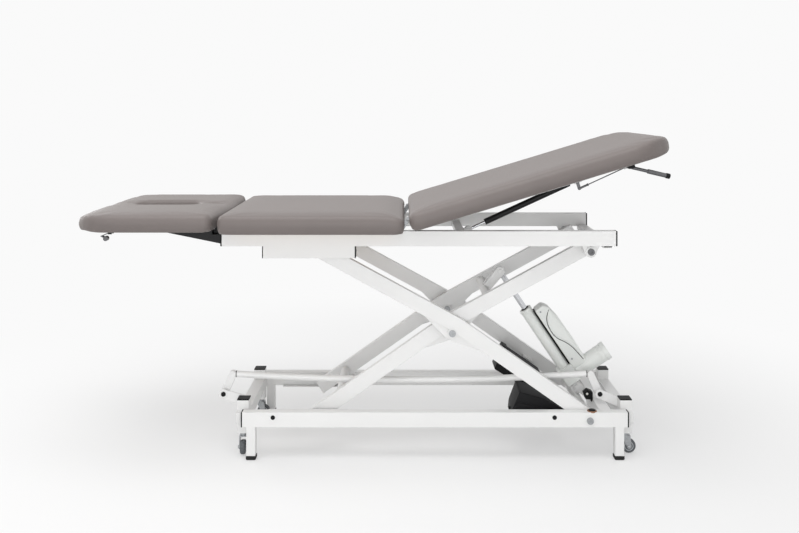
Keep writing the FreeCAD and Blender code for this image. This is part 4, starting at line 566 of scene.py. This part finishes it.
def fill_sides(item, low, high, lip, outward):
    """Fill the sides at mid-height, roll the outer end off and draw the bottom rim to its board."""
    middle = (low + high) / 2
    half = (high - low) / 2
    for vertex in item.data.vertices:
        place = vertex.co
        level = min(1.0, max(0.0, (place.z - low.z) / (high.z - low.z)))
        fullness = math.sin(level * math.pi) ** 0.8 * SIDE_BULGE
        for axis in (0, 1):
            reach = (place[axis] - middle[axis]) / half[axis]
            inner = half[axis] - abs(place[axis] - middle[axis])
            if inner < SIDE_REACH:
                place[axis] += math.copysign(fullness * (1 - max(0.0, inner) / SIDE_REACH), reach)
        rim = min(half.x - abs(place.x - middle.x), half.y - abs(place.y - middle.y))
        if rim < LIP_REACH and level < LIP_LEVEL:
            place.z -= lip * (1 - max(0.0, rim) / LIP_REACH) * (1 - level / LIP_LEVEL)
        ahead = half.x - (place.x - middle.x) * outward
        if ahead < ROLL_REACH and level > ROLL_LEVEL:
            share = (level - ROLL_LEVEL) / (1 - ROLL_LEVEL)
            place.z -= ROLL_DROP * (1 - max(0.0, ahead) / ROLL_REACH) ** 2 * share


def staples(name, low, high, z):
    """Four lines of staples along the folded cover's inner edge, under a pad."""
    x0, x1 = low[0] + STAPLE_INSET, high[0] - STAPLE_INSET
    y0, y1 = low[1] + STAPLE_INSET, high[1] - STAPLE_INSET
    length, width, thick = STAPLE_SIZE
    one = add_block("Staple", (-length / 2, -width / 2, -thick), (length / 2, width / 2, 0.0))
    bevel_sharp(one, 0.0003, 1)
    along_x = Matrix.Rotation(STAPLE_TURN, 4, "Z")
    along_y = Matrix.Rotation(math.pi / 2 - STAPLE_TURN, 4, "Z")
    moves = []
    for x in spaced(x0 + STAPLE_END_GAP, x1 - STAPLE_END_GAP, STAPLE_SPACE):
        for y in (y0, y1):
            moves.append(Matrix.Translation((x, y, z)) @ along_x)
    for y in spaced(y0 + STAPLE_SIDE_GAP, y1 - STAPLE_SIDE_GAP, STAPLE_SPACE):
        for x in (x0, x1):
            moves.append(Matrix.Translation((x, y, z)) @ along_y)
    made = copies(one, moves)
    bpy.data.objects.remove(one)
    return join(name, made)


def spaced(start, end, step):
    """Places from start to end, evenly apart and at least a step from each other."""
    count = int((end - start) / step)
    return [start + (end - start) * index / count for index in range(count + 1)]


def make_pads():
    """Head, middle and leg cushions over their boards."""
    hinge = joint_place("leg_tilt")
    seat_low, seat_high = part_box("seat_pad")
    head_low, head_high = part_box("head_pad")
    leg_start = hinge.x + LEG_PAD_OFFSET
    leg_low = Vector((leg_start, seat_low.y, seat_low.z))
    leg_high = Vector((leg_start + LEG_PAD_LENGTH, seat_high.y, seat_high.z))
    tilt = turned(LEG_TILT, hinge)
    pads = (
        ("Head_cushion", "head_pad", head_low, head_high, (HEAD_CORNER, SMALL_CORNER),
         "head_section", None),
        ("Middle_cushion", "seat_pad", seat_low, seat_high, (SMALL_CORNER, SMALL_CORNER),
         "top_frame", None),
        ("Leg_cushion", "leg_pad", leg_low, leg_high, (SMALL_CORNER, FOOT_CORNER),
         "leg_section", tilt),
    )
    slack = Vector((PAD_SLACK, PAD_SLACK, 0.0))
    for name, node, low, high, corners, body, move in pads:
        base = low + slack
        top = high - slack + Vector((0, 0, PAD_RISE[node] - PAD_CROWN))
        outward = -1 if node == "head_pad" else 1
        item = rounded_plate(name, base, top, corners, PAD_EDGE, PAD_FOOT)
        if node == "head_pad":
            face_hole(item, face_centre(), base.z, top.z)
        stuffed(item, low.z)
        crown(item, base, top)
        fill_sides(item, base, top, LIP_DROP[node], outward)
        item.data.update()
        line = staples(f"{name}_staples", low, high, low.z - 0.0002)
        dress(item, body, "upholstery", smooth=60, nodes=(node,), move=move)
        dress(line, body, "zinc", smooth=30, move=move)


def face_centre():
    """Middle of the face opening, from the record's own opening box."""
    for opening in frame["record"]["physics"]["openings"]:
        if opening["name"] == "face_opening":
            low, high = opening["box_m"]
            return (Vector(low) + Vector(high)) / 2
    raise ValueError("the record has no face opening")


# Carried-over parts keep their shape and take their slot's finish, or the one named here
LOOKS = {"head_release_lever": "dark_steel"}
for node, item in frame["nodes"].items():
    item.data.materials.clear()
    item.data.materials.append(FINISHES[LOOKS.get(node, SLOTS[node])])

make_pads()


# Fittings

def along(origin, direction):
    """A frame on a tilted line: X along it, Z square to it and upwards.

    On a line that leans to the head end, Y points to the near side.
    """
    ahead = Vector(direction).normalized()
    up = Vector((ahead.z, 0, -ahead.x))
    if up.z < 0:
        up = -up
    side = up.cross(ahead)
    turn = Matrix((ahead, side, up)).transposed().to_4x4()
    return Matrix.Translation(origin) @ turn


def add_profile(name, points, near, far):
    """A flat outline in the XZ plane, thickened from one side to the other."""
    leave_edit()
    bpy.ops.object.select_all(action="DESELECT")
    bpy.ops.mesh.primitive_circle_add(vertices=len(points), radius=0.1, fill_type="NGON",
                                      location=(0, 0, 0), rotation=(math.radians(90), 0, 0))
    item = placed(name)
    for vertex, (x, z) in zip(item.data.vertices, points):
        vertex.co = (x, near, z)
    only(item)
    bpy.ops.object.mode_set(mode="EDIT")
    bpy.ops.mesh.select_all(action="SELECT")
    bpy.ops.mesh.extrude_region_move(TRANSFORM_OT_translate={"value": (0, far - near, 0)})
    bpy.ops.mesh.select_all(action="SELECT")
    bpy.ops.mesh.normals_make_consistent(inside=False)
    leave_edit()
    return item


def inset_face(item, test, width, depth):
    """Step a face in or out, as a moulded panel."""
    if pick(item, "FACE", test):
        bpy.ops.mesh.inset(thickness=width, depth=0)
        bpy.ops.mesh.inset(thickness=abs(depth) * 0.6, depth=depth)
    leave_edit()
    return item


def add_pipe(name, points, radius):
    """A round line that runs smoothly along points."""
    leave_edit()
    bpy.ops.object.select_all(action="DESELECT")
    curve = bpy.data.curves.new(name, "CURVE")
    curve.dimensions = "3D"
    curve.bevel_depth = radius
    curve.bevel_resolution = 2
    curve.use_fill_caps = True
    spline = curve.splines.new("NURBS")
    spline.points.add(len(points) - 1)
    for point, place in zip(spline.points, points):
        point.co = (*place, 1.0)
    spline.order_u = 3
    spline.use_endpoint_u = True
    item = bpy.data.objects.new(name, curve)
    bpy.context.collection.objects.link(item)
    only(item)
    bpy.ops.object.convert(target="MESH")
    item = bpy.context.object
    item.name = name
    item.data.name = name
    return item


def add_screw(name, centre, direction, radius):
    """A domed screw head with a hexagon socket."""
    direction = Vector(direction).normalized()
    top = Vector(centre) + direction * SCREW_HEIGHT
    head = add_rod(name, centre, top, radius, 24)
    bevel(head, lambda place, edge: (place - top).dot(direction) > -1e-5 and is_sharp(edge, 0.6),
          SCREW_HEIGHT * 0.45, 3)
    socket = add_rod("Socket", top - direction * SCREW_HEIGHT * 0.6, top + direction * 0.002,
                     radius * 0.45, 6)
    apply_modifier(head, "BOOLEAN", object=socket, operation="DIFFERENCE", solver="EXACT")
    bpy.data.objects.remove(socket)
    return head


def make_actuator():
    """Housings on the lift's actuator, placed along its stroke from its lower eye."""
    stroke = Vector(JOINTS["actuator_extend"]["axis"])
    stroke = stroke if stroke.z > 0 else -stroke
    place = along(joint_place("actuator_tilt"), stroke)
    make_actuator_case(place)
    make_actuator_sleeve(place)
    make_actuator_motor(place)


def make_actuator_case(place):
    """The electronics case with a panel and a line on each side, a black strip that paints the shadow in the gap
    under it, and its screws.
    """
    half = CASE_WIDTH / 2
    case = add_profile("Actuator_case", CASE_OUTLINE, -half, half)
    bevel_across(case, ACROSS, 0.007, 4)
    bevel_sharp(case, 0.0045, 4)
    panels = []
    for side, word in ((-1, "far"), (1, "near")):
        panel = add_profile("Case_panel", CASE_PANEL, side * (half - PANEL_SINK),
                            side * (half + PANEL_RISE))
        panels.append(bevel_sharp(panel, 0.0014, 2, 30))
        points = [(x, side * (half + LINE_RISE), z) for x, z in CASE_LINE]
        line = add_pipe(f"Actuator_case_line_{word}", points, LINE_RADIUS)
        dress(line, "actuator", "black_plastic", smooth=60, move=place)
    # Painted shadow: a black strip behind the case's lower edge darkens the gap between the case and the tube
    painted_shadow_strip = bevel_sharp(add_block("Actuator_painted_shadow_strip", PAINTED_SHADOW_STRIP_LOW, PAINTED_SHADOW_STRIP_HIGH), 0.0012, 2)
    dress(painted_shadow_strip, "actuator", "black_plastic", move=place)
    case = join("Actuator_case", [case] + panels)
    dress(case, "actuator", "pale_plastic", nodes=("actuator_control_box",), move=place)
    screws = [add_screw("Case_screw", (x, side * half, z), (0, side, 0), SCREW_RADIUS)
              for x, z in CASE_SCREWS for side in (-1, 1)]
    screws = join("Actuator_case_screws", screws)
    dress(screws, "actuator", "zinc", smooth=30, move=place)


def make_actuator_sleeve(place):
    """The collar and wiper at the sleeve's end, where the rod leaves."""
    low, high = SLEEVE_END - 0.012, SLEEVE_END + 0.001
    collar = add_rod("Actuator_collar", (low, 0, 0), (high, 0, 0), COLLAR_RADIUS, 40)
    dress(bevel_sharp(collar, 0.003, 3), "actuator", "pale_plastic", move=place)
    wiper = add_ring("Actuator_wiper", (high, 0, 0), (1, 0, 0), WIPER_RADIUS, 0.0022)
    dress(wiper, "actuator", "rubber", move=place)


def make_actuator_motor(place):
    """The motor's end: a stepped cap, bands round the housing and a plug."""
    end = MOTOR_END + 0.001
    cap = add_rod("Motor_cap", (MOTOR_ALONG, 0, MOTOR_END - 0.004), (MOTOR_ALONG, 0, end + 0.003),
                  MOTOR_CAP_RADIUS, 48)
    inset_face(cap, lambda spot, face: spot.z > end and face.normal.z > 0.9, 0.005, 0.0022)
    bevel_sharp(cap, 0.0012, 2)
    bands = [add_ring("Motor_band", (MOTOR_ALONG, 0, MOTOR_END - drop), (0, 0, 1),
                      MOTOR_BAND_RADIUS, 0.0011, 48, 8) for drop in MOTOR_BANDS]
    dress(join("Motor_cap", [cap] + bands), "actuator", "pale_plastic", move=place)
    foot = Vector((MOTOR_ALONG + 0.014, 0.008, MOTOR_END))
    plug = add_rod("Motor_plug", foot, foot + Vector((0, 0, 0.010)), 0.0060, 24)
    dress(bevel_sharp(plug, 0.0015, 3), "actuator", "black_plastic", move=place)


def make_power_unit():
    """The mains unit behind the near arm: a wedge, higher at its far edge, with vents and a skirt."""
    low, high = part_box("power_unit")
    body = add_profile("Power_unit", POWER_OUTLINE, low.y, high.y)
    for vertex in body.data.vertices:
        if vertex.co.y > high.y - 1e-4 and vertex.co.z > RIDGE_ABOVE:
            vertex.co.z += RIDGE_RISE
    bevel_across(body, ACROSS, 0.006, 4, test=lambda place: place.z > low.z + 0.01)
    bevel_sharp(body, 0.0028, 3, 30)
    skirt = add_profile("Power_skirt", POWER_SKIRT, low.y - 0.006, low.y + 0.020)
    bevel_sharp(skirt, 0.003, 4, 25)
    middle = (low.y + high.y) / 2
    socket = add_rod("Power_socket", (low.x - 0.012, middle, 0.128),
                     (low.x + 0.004, middle, 0.132), 0.009, 24)
    bevel_sharp(socket, 0.0012, 2)
    ribs = []
    for index in range(VENT_COUNT):
        x = low.x + VENT_START + index * VENT_STEP
        rib = add_block("Vent_rib", (x, high.y - 0.002, VENT_LOW), (x + 0.005, high.y + 0.0012, VENT_HIGH))
        ribs.append(bevel_sharp(rib, 0.0007, 2))
    body = join("Power_unit", [body, skirt, socket] + ribs)
    dress(body, "base", "black_plastic", nodes=("power_unit",))


def make_control_unit():
    """The control box under the far arm, with a rim and an end lug, built along the arm."""
    low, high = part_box("control_unit")
    y0, y1 = -high.y, -low.y
    box = add_profile("Control_unit", UNIT_OUTLINE, y0, y1)
    bevel_across(box, ACROSS, 0.006, 4)
    bevel_sharp(box, 0.003, 3, 30)
    lug = add_block("Unit_lug", (0.284, y0 + 0.012, -0.012), (0.306, y1 - 0.012, 0.008))
    bevel_sharp(lug, 0.003, 3)
    rim = add_block("Unit_rim", (0.145, y0 - 0.0012, -0.044), (0.292, y1 + 0.0012, -0.041))
    bevel_sharp(rim, 0.0008, 2)
    dress(join("Control_unit", [box, lug, rim]), "outer_arms", "black_plastic",
          nodes=("control_unit",), move=along(joint_place("lift"), ARM_DIRECTION))


def make_switch_box():
    """The foot bar's switch: a gabled case with a nib, and a pale button in a rim."""
    low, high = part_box("switch_box")
    x, z = SWITCH_BUTTON
    case = add_profile("Switch_case", SWITCH_OUTLINE, low.y, high.y)
    bevel_sharp(case, 0.0022, 3)
    rim = add_ring("Switch_rim", (x, low.y - 0.0004, z), (0, -1, 0), 0.0052, 0.0009, 28, 8)
    nib = add_profile("Switch_nib", SWITCH_NIB, low.y + 0.006, high.y - 0.006)
    bevel_sharp(nib, 0.001, 2)
    case = join("Switch_case", [case, rim, nib])
    dress(case, "base", "black_plastic", nodes=("switch_box",))
    button = add_rod("Switch_button", (x, low.y + 0.002, z), (x, low.y - 0.0018, z), 0.0042, 24)
    dress(bevel_sharp(button, 0.0010, 2), "base", "nylon")


def make_feet():
    """Rubber end plugs under the four legs, rounded where they meet the floor."""
    low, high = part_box("rubber_feet")
    half = (high.y - RAIL_INSIDE) / 2
    feet = []
    for x in (low.x + half, high.x - half):
        for side in (-1, 1):
            y = side * (high.y - half)
            foot = add_block("Foot", (x - half, y - half, 0.0), (x + half, y + half, FOOT_HEIGHT))
            bevel_across(foot, UP, 0.005, 4, least=0.005)
            bevel(foot, lambda place, edge: place.z < 1e-4 and is_sharp(edge), 0.0065, 5)
            bevel(foot, lambda place, edge: place.z > FOOT_HEIGHT - 1e-4 and is_sharp(edge), 0.002, 2)
            feet.append(foot)
    dress(join("Leg_feet", feet), "base", "rubber", nodes=("rubber_feet",))


def make_wheel(name):
    """A rounded tyre on a dished hub, and a bolt with a nut at each end through the fork."""
    joint = JOINTS[f"wheel_{name}_spin"]
    centre = Vector(joint["pos_m"])
    axis = Vector(joint["axis"]).normalized()

    def is_flank(face):
        return abs(face.normal.dot(axis)) > 0.95

    half = axis * TYRE_HALF
    tyre = add_rod(f"Tyre_{name}", centre - half, centre + half, WHEEL_RADIUS, 48)
    bevel(tyre, lambda place, edge: (place - centre).length > WHEEL_RADIUS * 0.9
          and abs((place - centre).dot(axis)) > TYRE_HALF * 0.9, 0.0052, 5)
    inset_face(tyre, lambda place, face: is_flank(face)
               and (place - centre).length < TYRE_HALF * 1.1, 0.0012, -0.0016)
    dress(tyre, f"wheel_{name}", "grey_tyre", TYRE, nodes=(f"castor_wheel_{name}",))

    half = axis * (TYRE_HALF - 0.0006)
    hub = add_rod(f"Hub_{name}", centre - half, centre + half, WHEEL_RADIUS * 0.66, 40)
    inset_face(hub, lambda place, face: is_flank(face), 0.0022, -0.0022)
    inset_face(hub, lambda place, face: is_flank(face) and (place - centre).length < TYRE_HALF,
               0.0060, 0.0020)
    dress(bevel_sharp(hub, 0.0005, 2), f"wheel_{name}", "pale_plastic", HUB)

    bolt = add_rod("Bolt", centre - axis * FORK_HALF, centre + axis * FORK_HALF, 0.0029, 20)
    nuts = [add_rod("Nut", centre + axis * FORK_HALF * way, centre + axis * (FORK_HALF + 0.0028) * way,
                    0.0058, 6) for way in (-1, 1)]
    bolt = join(f"Castor_bolt_{name}", [bolt] + [bevel_sharp(nut, 0.0005, 2) for nut in nuts])
    dress(bolt, f"castor_{name}", "zinc", smooth=25)


def make_caps():
    """Round caps on the pedals' pivots, rings on the foot bar's ends and the grommet on the rail."""
    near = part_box("foot_bar_brackets")[0].y
    for end in ("head", "leg"):
        pivot = joint_place(f"foot_rocker_{end}_turn")
        cap = add_rod(f"Pedal_cap_{end}", (pivot.x, near + 0.001, pivot.z),
                      (pivot.x, near - 0.004, pivot.z), 0.0082, 32)
        bevel(cap, lambda place, edge: place.y < near - 0.0035 and is_sharp(edge), 0.0022, 4)
        dress(cap, "base", "black_plastic")
    bar = joint_place("foot_bar_turn")
    rings = [add_ring("Bar_ring", (x, bar.y, bar.z), (way, 0, 0), 0.0098, 0.0017, 36)
             for x, way in zip(BAR_ENDS, (-1, 1))]
    dress(join("Foot_bar_end_rings", rings), "foot_bar", "black_plastic", smooth=60)
    collar = add_ring("Rail_grommet", GROMMET, (0, 0, 1), 0.0135, 0.0030, 36)
    dress(collar, "base", "zinc", COPPER, smooth=60)
    x, y, z = GROMMET
    plug = add_rod("Rail_plug", (x, y, z - 0.001), (x, y, z + 0.005), 0.0115, 32)
    dress(bevel_sharp(plug, 0.0006, 2), "base", "black_plastic")


def make_rail_ends():
    """Rounded end caps on the base rails and the upper rails."""
    for name, node, body, thick in (("Base_rail_caps", "base_rail", "base", 0.0045),
                                    ("Top_rail_caps", "top_rail", "top_frame", 0.0050)):
        caps = []
        for side, outward in (("near", -1), ("far", 1)):
            low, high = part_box(f"{node}_{side}")
            outer = high.y if outward > 0 else low.y
            y0, y1 = sorted((outer, outer - outward * RAIL_WIDTH))
            for x, way in ((low.x, -1), (high.x, 1)):
                end = x + way * thick
                x0, x1 = sorted((x + way * 0.0004, end))
                cap = add_block("Cap", (x0, y0, high.z - RAIL_DEPTH), (x1, y1, high.z))
                bevel(cap, lambda place, edge: abs(place.x - end) < 1e-5 and edge.is_manifold, 0.0016, 3)
                caps.append(cap)
        dress(join(name, caps), body, "black_plastic")


def make_cross_tube_ends():
    """Plates that close the ends of the base's cross tubes."""
    leg_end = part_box("end_frame_leg")[1]
    head_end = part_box("end_frame_head")[0]
    rail_low, rail_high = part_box("base_rail_near")
    plates = []
    for x0, x1 in ((rail_high.x + TUBE_GAP, leg_end.x), (head_end.x, rail_low.x - TUBE_GAP)):
        for side in (-1, 1):
            y0, y1 = sorted((side * (leg_end.y + 0.0002), side * (leg_end.y + 0.0028)))
            plate = add_block("Tube_end", (x0, y0, TUBE_LOW), (x1, y1, TUBE_HIGH))
            plates.append(bevel_sharp(plate, 0.0008, 2))
    dress(join("Cross_tube_ends", plates), "base", "white_paint")


def on_leg(ahead, up, y):
    """A place on the leg section while it lies flat, measured from its hinge."""
    hinge = joint_place("leg_tilt")
    return Vector((hinge.x + ahead, y, hinge.z + up))


def make_release_rod():
    """The crank and the thin rod that the leg section's lever pulls."""
    foot, head, end = [on_leg(*place, RELEASE_Y) for place in (CRANK_FOOT, CRANK_HEAD, ROD_END)]
    crank = add_block("Crank", on_leg(0.578, -0.074, RELEASE_Y - 0.0045),
                      on_leg(0.589, -0.040, RELEASE_Y - 0.0015))
    bevel_across(crank, ACROSS, 0.0045, 5, least=0.002)
    pins = [add_rod("Pin", place - Vector((0, 0.0062, 0)), place + Vector((0, inward, 0)), radius, 24)
            for place, inward, radius in ((foot, 0.0045, 0.0042), (head, 0.012, 0.0048))]
    line = (end - foot).normalized()
    rod = add_rod("Rod", foot, end, 0.0019, 16)
    clevis = add_rod("Clevis", foot + line * 0.003, foot + line * 0.030, 0.0036, 20)
    lock = add_rod("Lock", foot + line * 0.030, foot + line * 0.034, 0.0050, 6)
    rounded = [bevel_sharp(piece, 0.0008, 2) for piece in pins + [clevis, lock]]
    dress(join("Release_rod_near", [crank, rod] + rounded), "leg_section", "dark_steel", smooth=40,
          move=turned(LEG_TILT, joint_place("leg_tilt")))


def make_lever_blocks():
    """The blocks that carry the leg section's rod and lever, and the button on the lever's end."""
    hanger = add_block("Hanger", on_leg(0.571, -0.047, RELEASE_Y),
                       on_leg(0.595, BOARD_UNDER, RELEASE_Y + 0.014))
    block = add_block("Lever_block", on_leg(0.742, -0.042, LEVER_Y - 0.011),
                      on_leg(0.764, BOARD_UNDER, LEVER_Y + 0.011))
    blocks = join("Lever_blocks", [bevel_sharp(hanger, 0.002, 3), bevel_sharp(block, 0.003, 3)])
    dress(blocks, "leg_section", "black_plastic", move=turned(LEG_TILT, joint_place("leg_tilt")))

    low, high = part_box("leg_release_lever")
    droop = LEG_TILT - LEVER_DROOP
    ahead = Vector((math.cos(droop), 0, math.sin(droop)))
    tip = Vector((high.x - LEVER_RADIUS * abs(math.sin(droop)), LEVER_Y,
                  low.z + LEVER_RADIUS * math.cos(droop)))
    button = add_rod("Lever_button", tip - ahead * 0.011, tip + ahead * 0.0035, 0.0088, 32)
    dress(bevel_sharp(button, 0.0022, 4), "leg_release_lever", "black_plastic")


def make_welds():
    """Rippled weld beads where the torsion tube meets the outer arms."""
    centre = joint_place("lift")
    beads = join("Weld_beads_outer_arms", [
        add_ring("Bead", (centre.x, side * WELD_PLACE, centre.z), (0, 1, 0), 0.0168, 0.0019, 60, 8)
        for side in (-1, 1)])
    for vertex in beads.data.vertices:
        turn = math.atan2(vertex.co.z - centre.z, vertex.co.x - centre.x)
        scale = 1 + WELD_RIPPLE * math.sin(turn * WELD_RIPPLES)
        vertex.co.x = centre.x + (vertex.co.x - centre.x) * scale
        vertex.co.z = centre.z + (vertex.co.z - centre.z) * scale
    dress(beads, "outer_arms", "white_paint", smooth=60)


# The actuator's housings, along its stroke and square to it from its lower eye
CASE_WIDTH = 0.058
CASE_OUTLINE = ((0.062, 0.0255), (0.314, 0.0250), (0.3165, 0.060), (0.296, 0.0745),
                (0.245, 0.0825), (0.160, 0.0845), (0.080, 0.0825), (0.060, 0.0775))
CASE_LINE = ((0.290, 0.0700), (0.2859, 0.0621), (0.2680, 0.0430), (0.2400, 0.0335), (0.2090, 0.0325),
             (0.1850, 0.0380), (0.1640, 0.0528), (0.1380, 0.0635), (0.1122, 0.0690), (0.0742, 0.0736))
CASE_PANEL = ((0.290, 0.0690), (0.283, 0.0600), (0.262, 0.0425), (0.238, 0.0360), (0.210, 0.0350),
              (0.187, 0.0405), (0.166, 0.0550), (0.139, 0.0655), (0.113, 0.0708), (0.078, 0.0750),
              (0.100, 0.0780), (0.160, 0.0790), (0.230, 0.0780), (0.280, 0.0730))
CASE_SCREWS = ((0.098, 0.040), (0.300, 0.040), (0.205, 0.034))
SCREW_RADIUS = 0.0032
SCREW_HEIGHT = 0.0022
PANEL_SINK = 0.001
PANEL_RISE = 0.0022
LINE_RISE = 0.0002
LINE_RADIUS = 0.0011
# The black strip that paints the shadow in the gap under the case
PAINTED_SHADOW_STRIP_LOW = (0.086, -0.019, 0.0195)
PAINTED_SHADOW_STRIP_HIGH = (0.312, 0.019, 0.0262)
SLEEVE_END = 0.333
COLLAR_RADIUS = 0.0228
WIPER_RADIUS = 0.0125
MOTOR_ALONG = 0.046
MOTOR_END = 0.147
MOTOR_CAP_RADIUS = 0.0305
MOTOR_BAND_RADIUS = 0.0322
MOTOR_BANDS = (0.014, 0.020, 0.092)

# The mains unit, the control unit along its arm, and the switch
POWER_OUTLINE = ((0.4670, 0.114), (0.4700, 0.146), (0.4950, 0.2050), (0.5735, 0.1835),
                 (0.6380, 0.1500), (0.6690, 0.1330), (0.6690, 0.114))
POWER_SKIRT = ((0.4665, 0.114), (0.4695, 0.144), (0.4900, 0.1700), (0.5300, 0.1620),
               (0.6500, 0.1290), (0.6790, 0.1250), (0.6790, 0.114))
RIDGE_ABOVE = 0.147
RIDGE_RISE = 0.007
VENT_COUNT = 6
VENT_START = 0.030
VENT_STEP = 0.011
VENT_LOW = 0.128
VENT_HIGH = 0.176
ARM_DIRECTION = (-0.8508, 0, 0.5255)
UNIT_OUTLINE = ((0.130, -0.080), (0.126, -0.014), (0.133, -0.007), (0.300, 0.001), (0.304, -0.004),
                (0.292, -0.080))
SWITCH_OUTLINE = ((0.728, 0.1790), (0.742, 0.1905), (0.760, 0.1830), (0.760, 0.1560), (0.735, 0.1580))
SWITCH_BUTTON = (0.7395, 0.1775)
SWITCH_NIB = ((0.752, 0.158), (0.760, 0.158), (0.7585, 0.148), (0.755, 0.148))

# The feet, castors, foot bar and tube ends
RAIL_INSIDE = 0.2035
FOOT_HEIGHT = 0.014
WHEEL_RADIUS = 0.024
TYRE_HALF = 0.0088
FORK_HALF = 0.0148
BAR_ENDS = (-0.4835, 0.7325)
GROMMET = (0.7308, -0.2205, 0.160)
RAIL_WIDTH = 0.030
RAIL_DEPTH = 0.050
TUBE_GAP = 0.0055
TUBE_LOW = 0.110
TUBE_HIGH = 0.150
WELD_PLACE = 0.1765
WELD_RIPPLE = 0.012
WELD_RIPPLES = 26

# The leg section's release, ahead of its hinge and up from it
RELEASE_Y = -0.200
CRANK_FOOT = (0.5835, -0.0695)
CRANK_HEAD = (0.5835, -0.0445)
ROD_END = (0.770, -0.0440)
BOARD_UNDER = -0.0225
LEVER_Y = -0.290
LEVER_RADIUS = 0.0075
LEVER_DROOP = math.radians(30)

make_actuator()
make_power_unit()
make_control_unit()
make_switch_box()
make_feet()
for wheel in ("head_near", "head_far", "leg_near", "leg_far"):
    make_wheel(wheel)
make_caps()
make_rail_ends()
make_cross_tube_ends()
make_release_rod()
make_lever_blocks()
make_welds()


# Studio

def studio_floor():
    """A pale floor that fades to plain white away from the couch and keeps a soft shadow under it."""
    leave_edit()
    bpy.ops.object.select_all(action="DESELECT")
    bpy.ops.mesh.primitive_plane_add(size=FLOOR_SIZE, location=(0, 0, 0))
    floor = placed("Studio_floor")
    finish = Finish("Studio_floor", FLOOR_GREY, 0.6, Specular_IOR_Level=0.2)
    glow = finish.node("ShaderNodeEmission", inputs={"Color": STUDIO_WHITE, "Strength": 1.0})
    seen = finish.node("ShaderNodeLightPath", output="Is Camera Ray")
    mirrored = finish.node("ShaderNodeLightPath", output="Is Glossy Ray")
    through = finish.node("ShaderNodeLightPath", output="Is Transmission Ray")
    far = finish.node("ShaderNodeVectorMath", {"operation": "LENGTH"}, {0: finish.place}, output="Value")
    haze = finish.node("ShaderNodeMapRange", {"interpolation_type": "SMOOTHSTEP"}, {
        "Value": far, "From Min": HAZE_START, "From Max": HAZE_END, "To Min": FLOOR_GLOW, "To Max": 1.0},
        output="Result")
    share = seen.maths("MAXIMUM", seen, seen.maths("MAXIMUM", mirrored, through)) * haze
    mixed = finish.node("ShaderNodeMixShader", inputs={
        0: share, 1: Wire(finish, finish.shader.outputs[0]), 2: glow})
    output = finish.tree.nodes["Material Output"]
    finish.tree.links.new(mixed.socket, output.inputs["Surface"])
    floor.data.materials.append(finish.material)


def studio_world():
    """A soft white sky for the light, and a plain white one for what is seen or mirrored."""
    world = bpy.data.worlds.new("Studio")
    bpy.context.scene.world = world
    world.use_nodes = True
    tree = world.node_tree
    sky = tree.nodes["Background"]
    sky.inputs["Color"].default_value = (1, 1, 1, 1)
    sky.inputs["Strength"].default_value = SKY_LIGHT
    seen = tree.nodes.new("ShaderNodeBackground")
    seen.inputs["Color"].default_value = STUDIO_WHITE
    seen.inputs["Strength"].default_value = 1.0
    path = tree.nodes.new("ShaderNodeLightPath")
    share = path.outputs["Is Camera Ray"]
    for ray in ("Is Transmission Ray", "Is Glossy Ray"):
        larger = tree.nodes.new("ShaderNodeMath")
        larger.operation = "MAXIMUM"
        tree.links.new(share, larger.inputs[0])
        tree.links.new(path.outputs[ray], larger.inputs[1])
        share = larger.outputs[0]
    mix = tree.nodes.new("ShaderNodeMixShader")
    tree.links.new(share, mix.inputs[0])
    tree.links.new(sky.outputs[0], mix.inputs[1])
    tree.links.new(seen.outputs[0], mix.inputs[2])
    tree.links.new(mix.outputs[0], tree.nodes["World Output"].inputs["Surface"])


def softbox(name, place, target, width, height, power):
    """A large rectangular lamp that faces a point."""
    lamp = bpy.data.lights.new(name, "AREA")
    lamp.shape = "RECTANGLE"
    lamp.size = width
    lamp.size_y = height
    lamp.energy = power
    item = bpy.data.objects.new(name, lamp)
    item.location = place
    item.rotation_euler = (Vector(target) - Vector(place)).to_track_quat("-Z", "Y").to_euler()
    bpy.context.collection.objects.link(item)


def studio_camera():
    """A level camera at the photograph's viewpoint, shifted to its framing."""
    data = bpy.data.cameras.new("Camera")
    data.sensor_width = SENSOR_MM
    data.lens = FOCAL_PIXELS / IMAGE_WIDTH * SENSOR_MM
    data.shift_x = (IMAGE_WIDTH / 2 - AXIS_PIXEL[0]) / IMAGE_WIDTH
    data.shift_y = (AXIS_PIXEL[1] - IMAGE_HEIGHT / 2) / IMAGE_WIDTH
    item = bpy.data.objects.new("Camera", data)
    item.location = CAMERA_PLACE
    item.rotation_euler = (math.radians(90), 0, 0)
    bpy.context.collection.objects.link(item)
    bpy.context.scene.camera = item


SKY_LIGHT = 0.55
STUDIO_WHITE = (0.955, 0.955, 0.955, 1.0)
FLOOR_GREY = (0.81, 0.81, 0.81)
FLOOR_SIZE = 60
FLOOR_GLOW = 0.42
HAZE_START = 0.8
HAZE_END = 2.4

# Each lamp's name, place, the point it faces, width, height and watts
LAMPS = (
    ("Overhead", (-0.3, -0.9, 3.6), (0, 0, 0.6), 3.6, 2.4, 80),
    ("Front", (0.0, -4.8, 1.0), (0, 0, 0.5), 3.0, 1.6, 60),
    ("Front_left", (-3.2, -3.6, 2.2), (0, 0, 0.6), 2.2, 2.2, 18),
    ("Back_left", (-3.4, 2.2, 1.9), (-0.8, 0, 0.85), 3.0, 2.4, 45),
)

studio_floor()
studio_world()
for lamp in LAMPS:
    softbox(*lamp)
studio_camera()
bpy.context.scene.view_settings.view_transform = "Standard"
